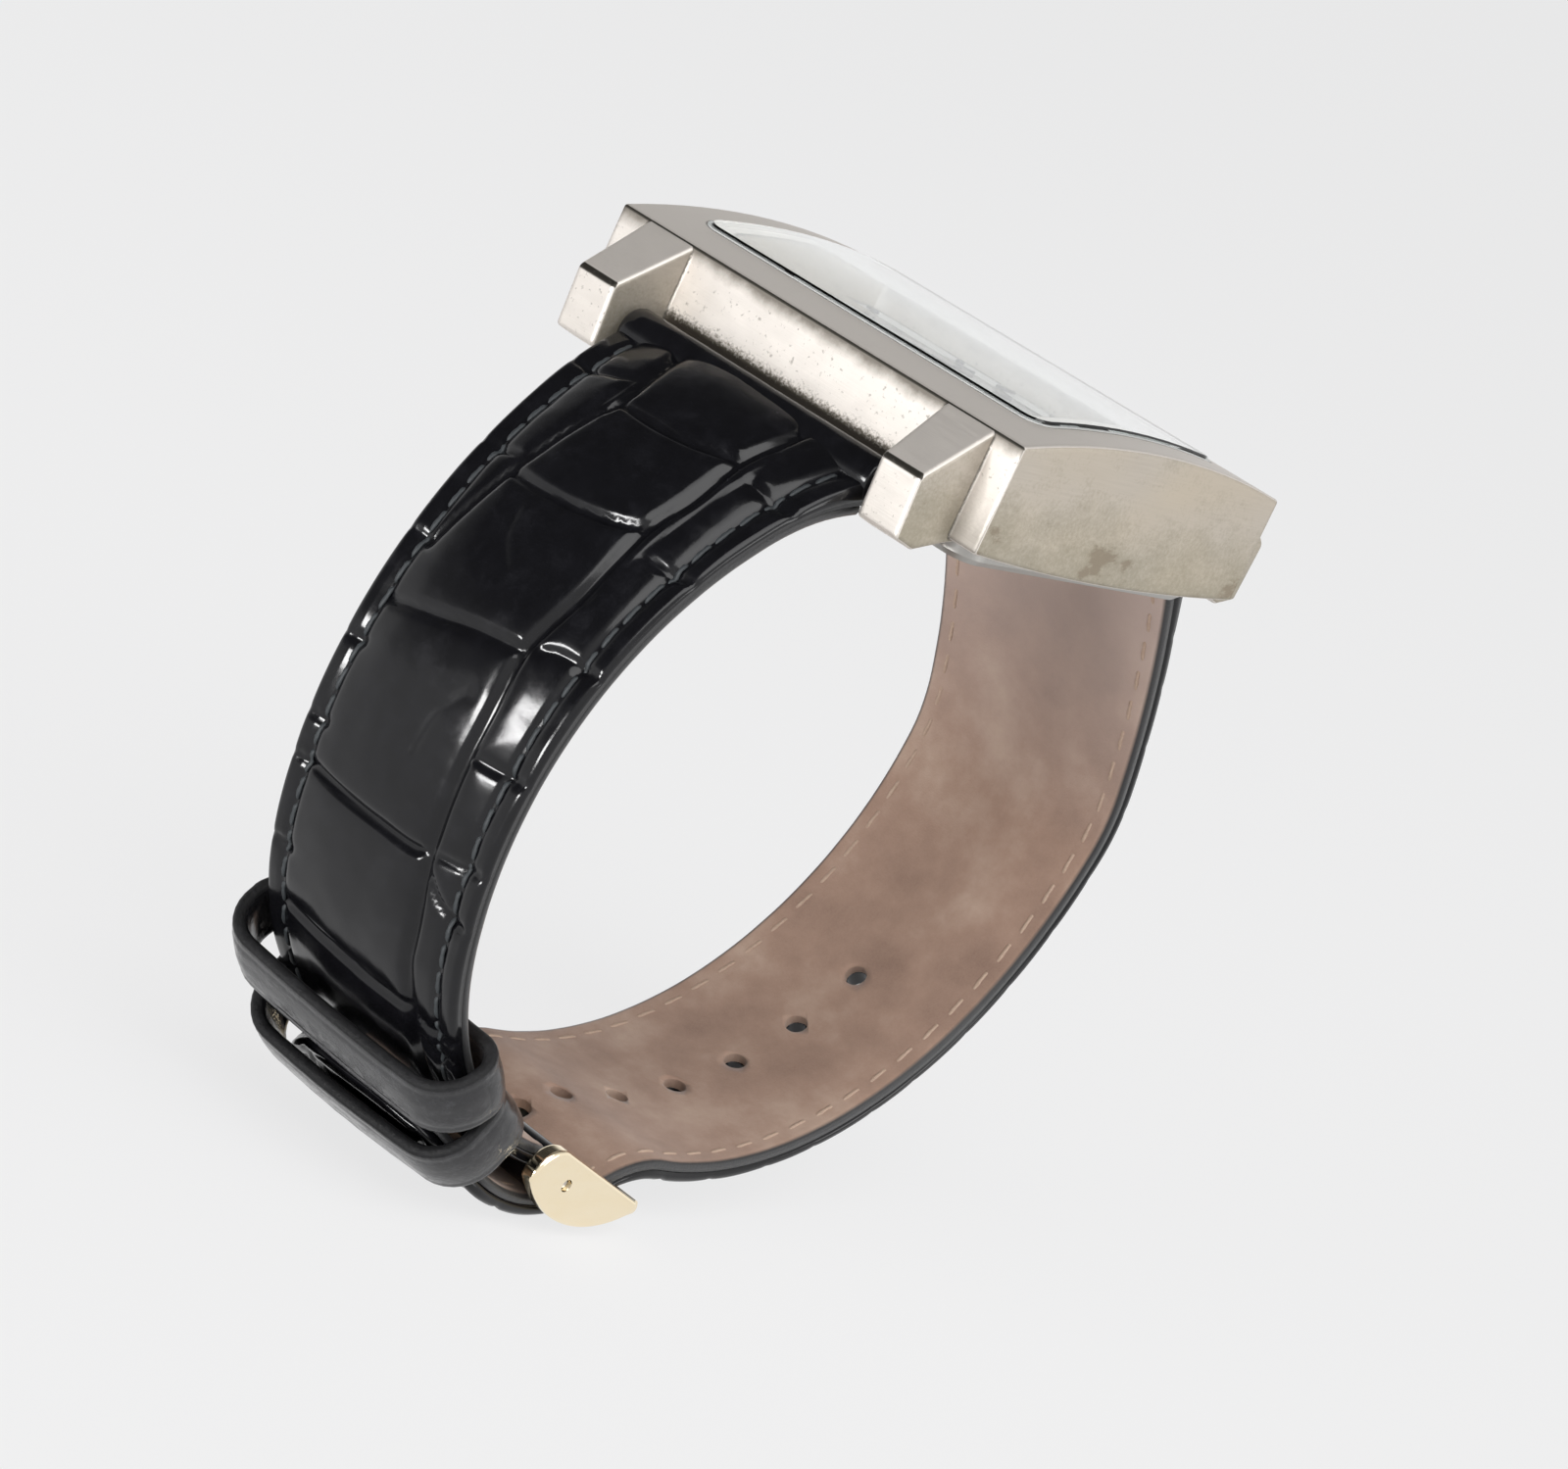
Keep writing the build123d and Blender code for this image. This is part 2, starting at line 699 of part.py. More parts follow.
with BuildPart() as movement_plate:
    with BuildSketch(Plane.XY.offset(plate_bottom)):
        RectangleRounded(movement_width, movement_length, movement_corner)
        with Locations((coil_x, coil_y)):
            Rectangle(coil_span + 2 * seat_gap, 2 * (coil_radius + coil_gap), mode=Mode.SUBTRACT)
        with Locations((pinion_middle, 0)):
            Rectangle(
                pinion_window, 2 * (setting_pinion_radius + setting_pinion_gap), mode=Mode.SUBTRACT
            )
        with Locations((dial_foot_x, dial_foot_y), (-dial_foot_x, -dial_foot_y)):
            Circle(dial_foot_radius + running_gap, mode=Mode.SUBTRACT)
        with Locations((bridge_x, bridge_y)):
            with GridLocations(2 * bridge_screw_x, 2 * bridge_screw_y, 2, 2):
                Circle(screw_shank_radius + seat_gap, mode=Mode.SUBTRACT)
        with Locations((clamp_screw_x, battery_y)):
            Circle(screw_shank_radius + seat_gap, mode=Mode.SUBTRACT)
    extrude(amount=plate_thickness)
    with BuildSketch(Plane.XY.offset(plate_bottom)):
        with Locations(battery_spot):
            Circle(battery_radius + battery_gap)
    extrude(amount=battery_top + seat_gap - plate_bottom, mode=Mode.SUBTRACT)
    with BuildSketch(bar_axis_plane(0, stem_height, stem_inner_end - setting_pinion_gap)):
        Circle(stem_radius + running_gap)
    extrude(amount=movement_width, mode=Mode.SUBTRACT)
    # Posts for the motion work
    with BuildSketch(Plane.XY.offset(movement_top)):
        Circle(arbor_radius)
    extrude(amount=minute_hand_height - movement_top - gear_step)
    with BuildSketch(Plane.XY.offset(movement_top)):
        with Locations(minute_wheel_at):
            Circle(minute_post_radius - running_gap)
    extrude(amount=upper_level + gear_thickness - movement_top)
movement_plate.part.label = "movement_plate"
export_step(movement_plate.part, "parts/movement_plate.step")

with BuildPart() as train_bridge:
    with BuildSketch(Plane.XY.offset(bridge_bottom)):
        with Locations((bridge_x, bridge_y)):
            RectangleRounded(bridge_width, bridge_length, bridge_corner)
            with GridLocations(2 * bridge_screw_x, 2 * bridge_screw_y, 2, 2):
                Circle(screw_shank_radius + seat_gap, mode=Mode.SUBTRACT)
        with Locations((clamp_screw_x, battery_y)):
            Circle(screw_shank_radius + seat_gap, mode=Mode.SUBTRACT)
        with Locations((pinion_middle, 0)):
            Rectangle(
                pinion_window, 2 * (setting_pinion_radius + setting_pinion_gap), mode=Mode.SUBTRACT
            )
    extrude(amount=bridge_thickness + bridge_gap - seat_gap)
    with BuildSketch(Plane.XY.offset(bridge_bottom)):
        with Locations((bridge_x, bridge_y)):
            with GridLocations(2 * bridge_screw_x, 2 * bridge_screw_y, 2, 2):
                Circle(screw_head_radius + running_gap)
    extrude(amount=screw_head_height, mode=Mode.SUBTRACT)
train_bridge.part.label = "train_bridge"
export_step(train_bridge.part, "parts/train_bridge.step")

screw_spots = [
    (bridge_x + side * bridge_screw_x, bridge_y + end * bridge_screw_y, bridge_bottom)
    for side in (-1, 1)
    for end in (-1, 1)
]
screw_spots.append((clamp_screw_x, battery_y, bridge_bottom - clamp_thickness - screw_head_height))
with BuildPart() as bridge_screws:
    for spot in screw_spots:
        with BuildSketch(Plane(origin=spot)):
            Circle(screw_shank_radius)
        extrude(amount=screw_length)
        with BuildSketch(Plane(origin=spot)):
            Circle(screw_head_radius)
        extrude(amount=screw_head_height - seat_gap)
        with BuildSketch(Plane(origin=spot)):
            Rectangle(2 * screw_head_radius, screw_slot)
        extrude(amount=screw_head_height / 2, mode=Mode.SUBTRACT)
bridge_screws.part.label = "bridge_screws"
export_step(bridge_screws.part, "parts/bridge_screws.step")

with BuildPart() as battery:
    with BuildSketch(Plane.XY.offset(bridge_bottom + seat_gap)):
        with Locations(battery_spot):
            Circle(battery_radius)
    extrude(amount=battery_height - battery_step_height)
    fillet(edges().group_by(Axis.Z)[0], battery_step / 2)
    with BuildSketch(Plane.XY.offset(bridge_bottom + seat_gap)):
        with Locations(battery_spot):
            Circle(battery_radius - battery_step)
    extrude(amount=battery_height)
battery.part.label = "battery"
export_step(battery.part, "parts/battery.step")

with BuildPart() as battery_clamp:
    with BuildSketch(Plane.XY.offset(bridge_bottom - clamp_thickness)):
        with Locations(((clamp_start_x + clamp_end_x) / 2, battery_y)):
            RectangleRounded(clamp_end_x - clamp_start_x, clamp_width, clamp_width / 4)
        with Locations(battery_spot):
            SlotOverall(battery_radius, clamp_width / 3, mode=Mode.SUBTRACT)
        with Locations((clamp_screw_x, battery_y)):
            Circle(screw_shank_radius + seat_gap, mode=Mode.SUBTRACT)
    extrude(amount=clamp_thickness - seat_gap)
battery_clamp.part.label = "battery_clamp"
export_step(battery_clamp.part, "parts/battery_clamp.step")

with BuildPart() as coil:
    with BuildSketch(bar_axis_plane(coil_y, coil_height, coil_x - coil_span / 2)):
        Rectangle(coil_core_width, coil_core_height)
    extrude(amount=coil_span)
    with BuildSketch(bar_axis_plane(coil_y, coil_height, coil_x - coil_length / 2)):
        Circle(coil_radius - coil_flange_rim)
    extrude(amount=coil_length)
    for start in (coil_x - coil_length / 2, coil_x + coil_length / 2 - coil_flange):
        with BuildSketch(bar_axis_plane(coil_y, coil_height, start)):
            Circle(coil_radius)
        extrude(amount=coil_flange)
coil.part.label = "coil"
export_step(coil.part, "parts/coil.step")

with BuildPart() as circuit_board:
    with BuildSketch(Plane.XY.offset(plate_bottom - seat_gap - board_thickness)):
        with Locations((board_x, board_y)):
            RectangleRounded(board_width, board_length, board_corner)
    extrude(amount=board_thickness)
    with BuildSketch(Plane.XY.offset(plate_bottom - seat_gap - board_thickness)):
        with Locations((board_x, board_y)):
            Rectangle(chip_size, chip_size)
    extrude(amount=-chip_height)
circuit_board.part.label = "circuit_board"
export_step(circuit_board.part, "parts/circuit_board.step")

with BuildPart() as movement_holder:
    with BuildSketch(Plane.XY.offset(back_thickness + spigot_height + seat_gap)):
        RectangleRounded(cavity_width - 2 * holder_gap, cavity_length - 2 * holder_gap, cavity_corner)
    extrude(amount=dial_bottom - back_thickness - spigot_height - 2 * seat_gap)
    with BuildSketch(Plane.XY.offset(back_thickness)):
        RectangleRounded(
            movement_width + 2 * movement_gap, movement_length + 2 * movement_gap, movement_corner
        )
    extrude(amount=movement_top + seat_gap - back_thickness, mode=Mode.SUBTRACT)
    with BuildSketch(Plane.XY.offset(movement_top)):
        RectangleRounded(
            movement_width - 2 * holder_ledge, movement_length - 2 * holder_ledge, movement_corner
        )
    extrude(amount=movement_top, mode=Mode.SUBTRACT)
    with BuildSketch(bar_axis_plane(0, stem_height, 0)):
        Circle(stem_radius + battery_gap)
    extrude(amount=cavity_width, mode=Mode.SUBTRACT)
movement_holder.part.label = "movement_holder"
export_step(movement_holder.part, "parts/movement_holder.step")

# Crown group
crown_start = half_width + crown_clear
crown_floor = crown_start + crown_bore_depth
with BuildPart() as setting_pinion:
    with BuildSketch(bar_axis_plane(0, stem_height, setting_pinion_start)):
        add(toothed(setting_teeth, setting_pinion_radius / (setting_teeth / 2 + addendum_share)))
        Rectangle(stem_square + 2 * square_gap, stem_square + 2 * square_gap, mode=Mode.SUBTRACT)
    extrude(amount=setting_pinion_length)
setting_pinion.part.label = "setting_pinion"
export_step(setting_pinion.part, "parts/setting_pinion.step")

with BuildPart() as winding_stem:
    with BuildSketch(bar_axis_plane(0, stem_height, stem_inner_end)):
        Rectangle(stem_square, stem_square)
    extrude(amount=stem_square_length)
    with BuildSketch(bar_axis_plane(0, stem_height, stem_inner_end + stem_square_length)):
        Circle(stem_radius)
    extrude(amount=crown_floor + stem_thread - stem_inner_end - stem_square_length)
winding_stem.part.label = "winding_stem"
export_step(winding_stem.part, "parts/winding_stem.step")

with BuildPart() as crown:
    with BuildSketch(bar_axis_plane(0, stem_height, crown_start)):
        Circle(crown_radius)
    extrude(amount=crown_length)
    fillet(faces().sort_by(Axis.X)[-1].edges(), crown_edge)
    chamfer(faces().sort_by(Axis.X)[0].edges(), crown_edge / 2)
    with BuildSketch(bar_axis_plane(0, stem_height, crown_start)):
        with PolarLocations(crown_radius, crown_flutes):
            Circle(crown_flute_radius)
    extrude(amount=crown_length - crown_edge, mode=Mode.SUBTRACT)
    with BuildSketch(bar_axis_plane(0, stem_height, crown_start)):
        Circle(tube_radius + crown_gasket_wall)
    extrude(amount=crown_bore_depth, mode=Mode.SUBTRACT)
    with BuildSketch(bar_axis_plane(0, stem_height, crown_start)):
        Circle(stem_radius + seat_gap)
    extrude(amount=crown_bore_depth + stem_thread + seat_gap, mode=Mode.SUBTRACT)
crown.part.label = "crown"
export_step(crown.part, "parts/crown.step")

with BuildPart() as crown_gasket:
    with BuildSketch(bar_axis_plane(0, stem_height, crown_start + crown_gasket_inset)):
        Circle(tube_radius + crown_gasket_wall - seat_gap)
        Circle(tube_radius + running_gap, mode=Mode.SUBTRACT)
    extrude(amount=crown_gasket_length)
crown_gasket.part.label = "crown_gasket"
export_step(crown_gasket.part, "parts/crown_gasket.step")

with BuildPart() as crown_tube:
    with BuildSketch(bar_axis_plane(0, stem_height, half_width + tube_stand - tube_length)):
        Circle(tube_radius - seat_gap)
        Circle(tube_radius - tube_wall, mode=Mode.SUBTRACT)
    extrude(amount=tube_length)
crown_tube.part.label = "crown_tube"
export_step(crown_tube.part, "parts/crown_tube.step")


def bar_tube(reach, height, half_span):
    """Hollow spring bar tube whose ends are rolled in over its pins."""
    with BuildPart() as tube:
        with BuildSketch(bar_axis_plane(reach, height, -half_span)):
            Circle(bar_radius)
        extrude(amount=2 * half_span)
        with BuildSketch(bar_axis_plane(reach, height, -half_span)):
            Circle(tip_radius + tip_gap)
        extrude(amount=2 * half_span, mode=Mode.SUBTRACT)
        with BuildSketch(bar_axis_plane(reach, height, bar_lip - half_span)):
            Circle(bar_bore)
        extrude(amount=2 * (half_span - bar_lip), mode=Mode.SUBTRACT)
    return tube.part


def bar_pin(reach, height, half_span, outer_end, side):
    """Sprung pin at one end of a bar tube."""
    inner_end = half_span - bar_lip - seat_gap - tip_guide_length
    with BuildPart() as pin:
        with BuildSketch(bar_axis_plane(reach, height, side * inner_end)):
            Circle(tip_guide_radius)
        extrude(amount=side * tip_guide_length)
        with BuildSketch(bar_axis_plane(reach, height, side * inner_end)):
            Circle(tip_radius)
        extrude(amount=side * (outer_end - inner_end))
        chamfer(edges().sort_by(Axis.X)[-1 if side > 0 else 0], tip_radius / 3)
    return pin.part


# Spring bars between the lugs
lug_gap_half = lug_root_in + (lug_tip_in - lug_root_in) * (bar_reach - bar_radius - half_length) / (
    lug_crest_reach - half_length
)
lug_tube_half = lug_gap_half - tube_end_gap
for hour_name, reach in lug_bars.items():
    tube_part = bar_tube(reach, bar_height, lug_tube_half)
    tube_part.label = "lug_bar_tube_" + hour_name
    export_step(tube_part, "parts/lug_bar_tube_" + hour_name + ".step")
    for side_name, side in (("right", 1), ("left", -1)):
        pin_part = bar_pin(reach, bar_height, lug_tube_half, lug_tip_end, side)
        pin_part.label = "lug_bar_pin_" + hour_name + "_" + side_name
        export_step(pin_part, "parts/lug_bar_pin_" + hour_name + "_" + side_name + ".step")

# Spring bar of the buckle
buckle_tube_half = buckle_inner_half - tube_end_gap
buckle_bar_tube = bar_tube(buckle_bar_y, buckle_bar_z, buckle_tube_half)
buckle_bar_tube.label = "buckle_bar_tube"
export_step(buckle_bar_tube, "parts/buckle_bar_tube.step")
for side_name, side in (("right", 1), ("left", -1)):
    pin_part = bar_pin(buckle_bar_y, buckle_bar_z, buckle_tube_half, cheek_tip_end, side)
    pin_part.label = "buckle_bar_pin_" + side_name
    export_step(pin_part, "parts/buckle_bar_pin_" + side_name + ".step")


def strap_stations(runs):
    """Distances along a seam line at which its cross sections are drawn."""
    stations = [0]
    for radius, turn in runs:
        start = stations[-1]
        length = radius * radians(abs(turn))
        count = ceil(max(length / section_pitch, abs(turn) / section_turn))
        stations += [start + length * (index + 1) / count for index in range(count)]
    return stations


def tip_half(distance):
    """Half width of the pointed strap's tip."""
    into = max(0, 1 - (long_path.length - distance) / tip_length)
    return tip_blunt + (strap_buckle_half - tip_blunt) * (1 - into**tip_power) ** (1 / tip_power)


def half_at(distance, side):
    narrowing = 0 if side > 0 else strap_buckle_half - tip_half(distance)
    return strap_half(distance) - narrowing


def leather_block(path, side, stations):
    """Domed outer leather of a strap, flat on its seam line."""
    with BuildPart() as block:
        for station in stations:
            half, edge = half_at(station, side), edge_height(station)
            with BuildSketch(along(path, station, side)):
                with BuildLine():
                    Polyline((-half, edge), (-half, 0), (half, 0), (half, edge))
                    ThreePointArc((half, edge), (0, pad_height(station)), (-half, edge))
                make_face()
        loft()
    return block.part


def lining_block(path, side, stations):
    """Thin lining under a strap's seam line."""
    with BuildPart() as block:
        for station in stations:
            with BuildSketch(along(path, station, side)):
                with Locations((0, -glue_line - lining_thickness / 2)):
                    Rectangle(2 * half_at(station, side), lining_thickness)
        loft()
    return block.part


def lug_eye(reach):
    """Plane at one end of the eye that wraps a lug bar."""
    return bar_axis_plane(reach, bar_height, -strap_lug_half)


tip_stations = [long_path.length - tip_length * share for share in tip_section_shares]
short_stations = strap_stations(short_runs)
tip_start = long_path.length - tip_length
long_stations = [station for station in strap_stations(long_runs) if station < tip_start] + tip_stations

# Strap on the 12 o'clock side, folded round the buckle's bar
with BuildPart() as buckle_strap_leather:
    add(leather_block(short_path, 1, short_stations))
    with BuildSketch(lug_eye(bar_reach)):
        Circle(eye_radius)
    extrude(amount=2 * strap_lug_half)
    with BuildSketch(lug_eye(bar_reach)):
        Circle(bar_radius + seat_gap)
    extrude(amount=2 * strap_lug_half, mode=Mode.SUBTRACT)
    with BuildSketch(bar_axis_plane(buckle_bar_y, buckle_bar_z, -strap_buckle_half)):
        Circle(eye_radius)
    extrude(amount=2 * strap_buckle_half)
    with BuildSketch(bar_axis_plane(buckle_bar_y, buckle_bar_z, -strap_buckle_half)):
        Circle(bar_radius + seat_gap)
    extrude(amount=2 * strap_buckle_half, mode=Mode.SUBTRACT)
    with BuildSketch(bar_axis_plane(buckle_bar_y, buckle_bar_z, -fold_notch_half)):
        Circle(eye_radius + tang_gap)
        with Locations((-eye_radius, 0)):
            Rectangle(2 * eye_radius, 2 * eye_radius)
    extrude(amount=2 * fold_notch_half, mode=Mode.SUBTRACT)
buckle_strap_leather.part.label = "buckle_strap_leather"
export_step(buckle_strap_leather.part, "parts/buckle_strap_leather.step")

with BuildPart() as buckle_strap_lining:
    add(lining_block(short_path, 1, short_stations))
    with BuildSketch(lug_eye(bar_reach)):
        Circle(eye_radius + eye_gap)
    extrude(amount=2 * strap_lug_half, mode=Mode.SUBTRACT)
    with BuildSketch(bar_axis_plane(buckle_bar_y, buckle_bar_z, -strap_lug_half)):
        Circle(eye_radius + eye_gap)
    extrude(amount=2 * strap_lug_half, mode=Mode.SUBTRACT)
buckle_strap_lining.part.label = "buckle_strap_lining"
export_step(buckle_strap_lining.part, "parts/buckle_strap_lining.step")

# Strap on the 6 o'clock side, with its row of holes
with BuildPart() as strap_holes:
    for index in range(hole_count):
        spot = along(long_path, long_path.length - last_hole_from_tip - index * hole_pitch, -1)
        with BuildSketch(Plane(origin=spot.origin, x_dir=spot.z_dir, z_dir=spot.y_dir)):
            if index == worn_hole_index:
                SlotOverall(worn_hole_length, 2 * worn_hole_half)
            else:
                Circle(hole_radius)
        extrude(amount=leather_edge + lining_thickness + pad_crown, both=True)

with BuildPart() as hole_strap_leather:
    add(leather_block(long_path, -1, long_stations))
    with BuildSketch(lug_eye(-bar_reach)):
        Circle(eye_radius)
    extrude(amount=2 * strap_lug_half)
    with BuildSketch(lug_eye(-bar_reach)):
        Circle(bar_radius + seat_gap)
    extrude(amount=2 * strap_lug_half, mode=Mode.SUBTRACT)
    add(strap_holes.part, mode=Mode.SUBTRACT)
hole_strap_leather.part.label = "hole_strap_leather"
export_step(hole_strap_leather.part, "parts/hole_strap_leather.step")

with BuildPart() as hole_strap_lining:
    add(lining_block(long_path, -1, long_stations))
    with BuildSketch(lug_eye(-bar_reach)):
        Circle(eye_radius + eye_gap)
    extrude(amount=2 * strap_lug_half, mode=Mode.SUBTRACT)
    add(strap_holes.part, mode=Mode.SUBTRACT)
hole_strap_lining.part.label = "hole_strap_lining"
export_step(hole_strap_lining.part, "parts/hole_strap_lining.step")

# Keepers round both straps
keeper_floor = -(glue_line + lining_thickness + keeper_play)


def keeper_opening(room):
    """Space inside a keeper: rounded at the wrist, rounder and bowed on the outside."""
    shoulder = room - keeper_bow
    with BuildSketch() as opening:
        with BuildLine():
            Polyline(
                (-keeper_inner_half, shoulder),
                (-keeper_inner_half, keeper_floor),
                (keeper_inner_half, keeper_floor),
                (keeper_inner_half, shoulder),
            )
            ThreePointArc((keeper_inner_half, shoulder), (0, room), (-keeper_inner_half, shoulder))
        make_face()
        fillet(vertices().group_by(Axis.Y)[0], keeper_round)
        fillet(vertices().group_by(Axis.Y)[-1], keeper_outer_round)
    return opening.sketch


def keeper_loop(station, width, room, skew):
    """Closed leather loop standing square across the strap, but for its skew."""
    middle = Plane(along(short_path, station, 1).location * Rotation(0, skew, 0))
    with BuildPart() as loop:
        with BuildSketch(middle.offset(-width / 2)):
            add(keeper_opening(room))
            offset(amount=keeper_leather)
            add(keeper_opening(room), mode=Mode.SUBTRACT)
        extrude(amount=width)
        fillet(faces().filter_by(Axis(middle.origin, middle.z_dir)).edges(), keeper_edge)
    return loop.part


sliding_keeper = keeper_loop(
    sliding_keeper_station, sliding_keeper_width, sliding_keeper_room, sliding_keeper_skew
)
sliding_keeper.label = "sliding_keeper"
export_step(sliding_keeper, "parts/sliding_keeper.step")
fixed_keeper = keeper_loop(fixed_keeper_station, fixed_keeper_width, fixed_keeper_room, fixed_keeper_skew)
fixed_keeper.label = "fixed_keeper"
export_step(fixed_keeper, "parts/fixed_keeper.step")

# Buckle


def tang_top(reach):
    """Height of the tang's upper face above the bar's axis."""
    return tang_heel_high - reach * tan(radians(tang_slope))


front_bar_spot = (buckle_bar_y - front_bar_reach, buckle_bar_z - front_bar_drop)
with BuildPart() as buckle_frame:
    for start in (buckle_inner_half, -buckle_inner_half - cheek_thickness):
        with BuildSketch(bar_axis_plane(buckle_bar_y, buckle_bar_z, start)):
            with BuildLine():
                Line((-cheek_toe_reach, -cheek_toe_drop), (cheek_brow_reach, cheek_brow_rise))
                ThreePointArc(
                    (cheek_brow_reach, cheek_brow_rise),
                    (cheek_shoulder_reach, cheek_shoulder_rise),
                    (cheek_heel_reach, cheek_heel_rise),
                )
                ThreePointArc(
                    (cheek_heel_reach, cheek_heel_rise),
                    (-cheek_belly_back, -cheek_belly_drop),
                    (-cheek_toe_reach, -cheek_toe_drop),
                )
            make_face()
            fillet(vertices(), cheek_corner)
        extrude(amount=cheek_thickness)
    fillet(faces().filter_by(Axis.X).edges(), cheek_round)
    with BuildSketch(bar_axis_plane(*front_bar_spot, -buckle_inner_half - cheek_thickness / 2)):
        with Locations(Rotation(0, 0, front_bar_tilt)):
            RectangleRounded(front_bar_width, front_bar_height, front_bar_round)
    extrude(amount=2 * buckle_inner_half + cheek_thickness)
    # Notch in the front bar for the tang
    with BuildSketch(bar_axis_plane(buckle_bar_y, buckle_bar_z, -tang_width / 2 - tang_gap)):
        with Locations((-front_bar_reach, tang_top(front_bar_reach) + tang_notch_gap)):
            Rectangle(
                2 * front_bar_width,
                2 * front_bar_height,
                rotation=tang_slope,
                align=(Align.CENTER, Align.MAX),
            )
    extrude(amount=tang_width + 2 * tang_gap, mode=Mode.SUBTRACT)
    with BuildSketch(bar_axis_plane(buckle_bar_y, buckle_bar_z, -buckle_inner_half - cheek_thickness)):
        Circle(tip_radius + tip_gap)
    extrude(amount=2 * (buckle_inner_half + cheek_thickness), mode=Mode.SUBTRACT)
buckle_frame.part.label = "buckle_frame"
export_step(buckle_frame.part, "parts/buckle_frame.step")

with BuildPart() as buckle_tang:
    with BuildSketch(bar_axis_plane(buckle_bar_y, buckle_bar_z, -tang_width / 2)):
        with BuildLine():
            Polyline(
                (0, tang_heel_high),
                (0, tang_heel_high - tang_thickness),
                (-tang_reach, tang_top(tang_reach) - tang_thickness),
                (-tang_reach, tang_top(tang_reach)),
                close=True,
            )
        make_face()
        Circle(tang_eye_radius)
        Circle(bar_radius + running_gap, mode=Mode.SUBTRACT)
    extrude(amount=tang_width)
buckle_tang.part.label = "buckle_tang"
export_step(buckle_tang.part, "parts/buckle_tang.step")
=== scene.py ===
"""Looks of a rectangular wristwatch on an embossed leather strap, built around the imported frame.

Lengths are written in millimetres and turned into metres where a mesh or a material needs them.
"""

from math import atan2, cos, degrees, pi, radians, sin, sqrt

import bmesh
import bpy
import numpy as np
from mathutils import Matrix, Vector, noise


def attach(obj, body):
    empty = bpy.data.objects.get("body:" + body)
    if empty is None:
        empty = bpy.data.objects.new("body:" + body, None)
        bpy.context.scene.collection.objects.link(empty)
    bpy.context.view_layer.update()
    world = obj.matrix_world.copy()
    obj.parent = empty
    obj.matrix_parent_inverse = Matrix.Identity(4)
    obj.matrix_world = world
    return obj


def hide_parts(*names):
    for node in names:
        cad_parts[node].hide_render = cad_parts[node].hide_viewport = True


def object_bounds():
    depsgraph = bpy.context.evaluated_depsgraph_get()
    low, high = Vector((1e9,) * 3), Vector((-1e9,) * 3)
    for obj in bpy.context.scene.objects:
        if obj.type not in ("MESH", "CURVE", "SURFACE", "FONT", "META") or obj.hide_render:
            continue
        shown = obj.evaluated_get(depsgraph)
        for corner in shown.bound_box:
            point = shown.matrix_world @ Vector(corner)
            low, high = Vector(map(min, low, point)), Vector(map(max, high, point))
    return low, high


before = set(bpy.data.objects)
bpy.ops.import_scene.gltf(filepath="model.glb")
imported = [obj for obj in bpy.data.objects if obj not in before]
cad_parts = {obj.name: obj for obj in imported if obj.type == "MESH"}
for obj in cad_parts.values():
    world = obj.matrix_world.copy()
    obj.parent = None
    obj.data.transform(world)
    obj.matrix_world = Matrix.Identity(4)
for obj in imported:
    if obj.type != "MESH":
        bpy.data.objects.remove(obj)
cad_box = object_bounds()
MM = 0.001
rng = np.random.default_rng(7)


# Node helpers
def new_material(name):
    material = bpy.data.materials.new(name)
    material.use_nodes = True
    tree = material.node_tree
    tree.nodes.clear()
    out = tree.nodes.new("ShaderNodeOutputMaterial")
    shader = tree.nodes.new("ShaderNodeBsdfPrincipled")
    tree.links.new(shader.outputs[0], out.inputs[0])
    return material, tree, shader


def node(tree, kind, inputs, **settings):
    """A new node, each of whose inputs is linked to a socket or set to a value."""
    made = tree.nodes.new(kind)
    for key, value in settings.items():
        setattr(made, key, value)
    for key, value in inputs.items():
        socket = made.inputs[key]
        if isinstance(value, bpy.types.NodeSocket):
            tree.links.new(value, socket)
        else:
            socket.default_value = value
    return made


def object_point(tree, stretch=(1, 1, 1)):
    where = tree.nodes.new("ShaderNodeTexCoord")
    return node(tree, "ShaderNodeMapping", {"Vector": where.outputs["Object"], "Scale": stretch}).outputs[0]


def noise_value(tree, point, scale, detail=4.0, rough=0.55):
    inputs = {"Vector": point, "Scale": scale, "Detail": detail, "Roughness": rough}
    return node(tree, "ShaderNodeTexNoise", inputs).outputs[0]


def grain_value(tree, stretch, detail=4.0, rough=0.6):
    """Noise drawn out by a different amount along each axis, for brushing and scratches."""
    return noise_value(tree, object_point(tree, stretch), 1.0, detail, rough)


def ramp(tree, value, stops):
    made = node(tree, "ShaderNodeValToRGB", {"Fac": value})
    while len(made.color_ramp.elements) < len(stops):
        made.color_ramp.elements.new(0.5)
    for element, (at, shade) in zip(made.color_ramp.elements, stops):
        element.position = at
        element.color = (*shade, 1)
    return made.outputs[0]


def grey(value):
    return (value, value, value)


def step(tree, value, clear, full):
    """A ramp from black at clear to white at full."""
    return ramp(tree, value, [(clear, grey(0)), (full, grey(1))])


def band(tree, value, clear, full):
    """0 where the value is at clear, 1 at full, held beyond both."""
    return node(tree, "ShaderNodeMapRange", {"Value": value, 1: clear, 2: full, 3: 0.0, 4: 1.0}).outputs[0]


def length_band(tree, value, clear_and_full):
    """The same, between two lengths in millimetres."""
    clear, full = clear_and_full
    return band(tree, value, clear * MM, full * MM)


def maths(tree, operation, a, b=0.0, clamp=False):
    return node(tree, "ShaderNodeMath", {0: a, 1: b}, operation=operation, use_clamp=clamp).outputs[0]


def plus(tree, a, b):
    return maths(tree, "ADD", a, b)


def times(tree, a, b):
    return maths(tree, "MULTIPLY", a, b)


def higher(tree, a, b):
    return maths(tree, "MAXIMUM", a, b)


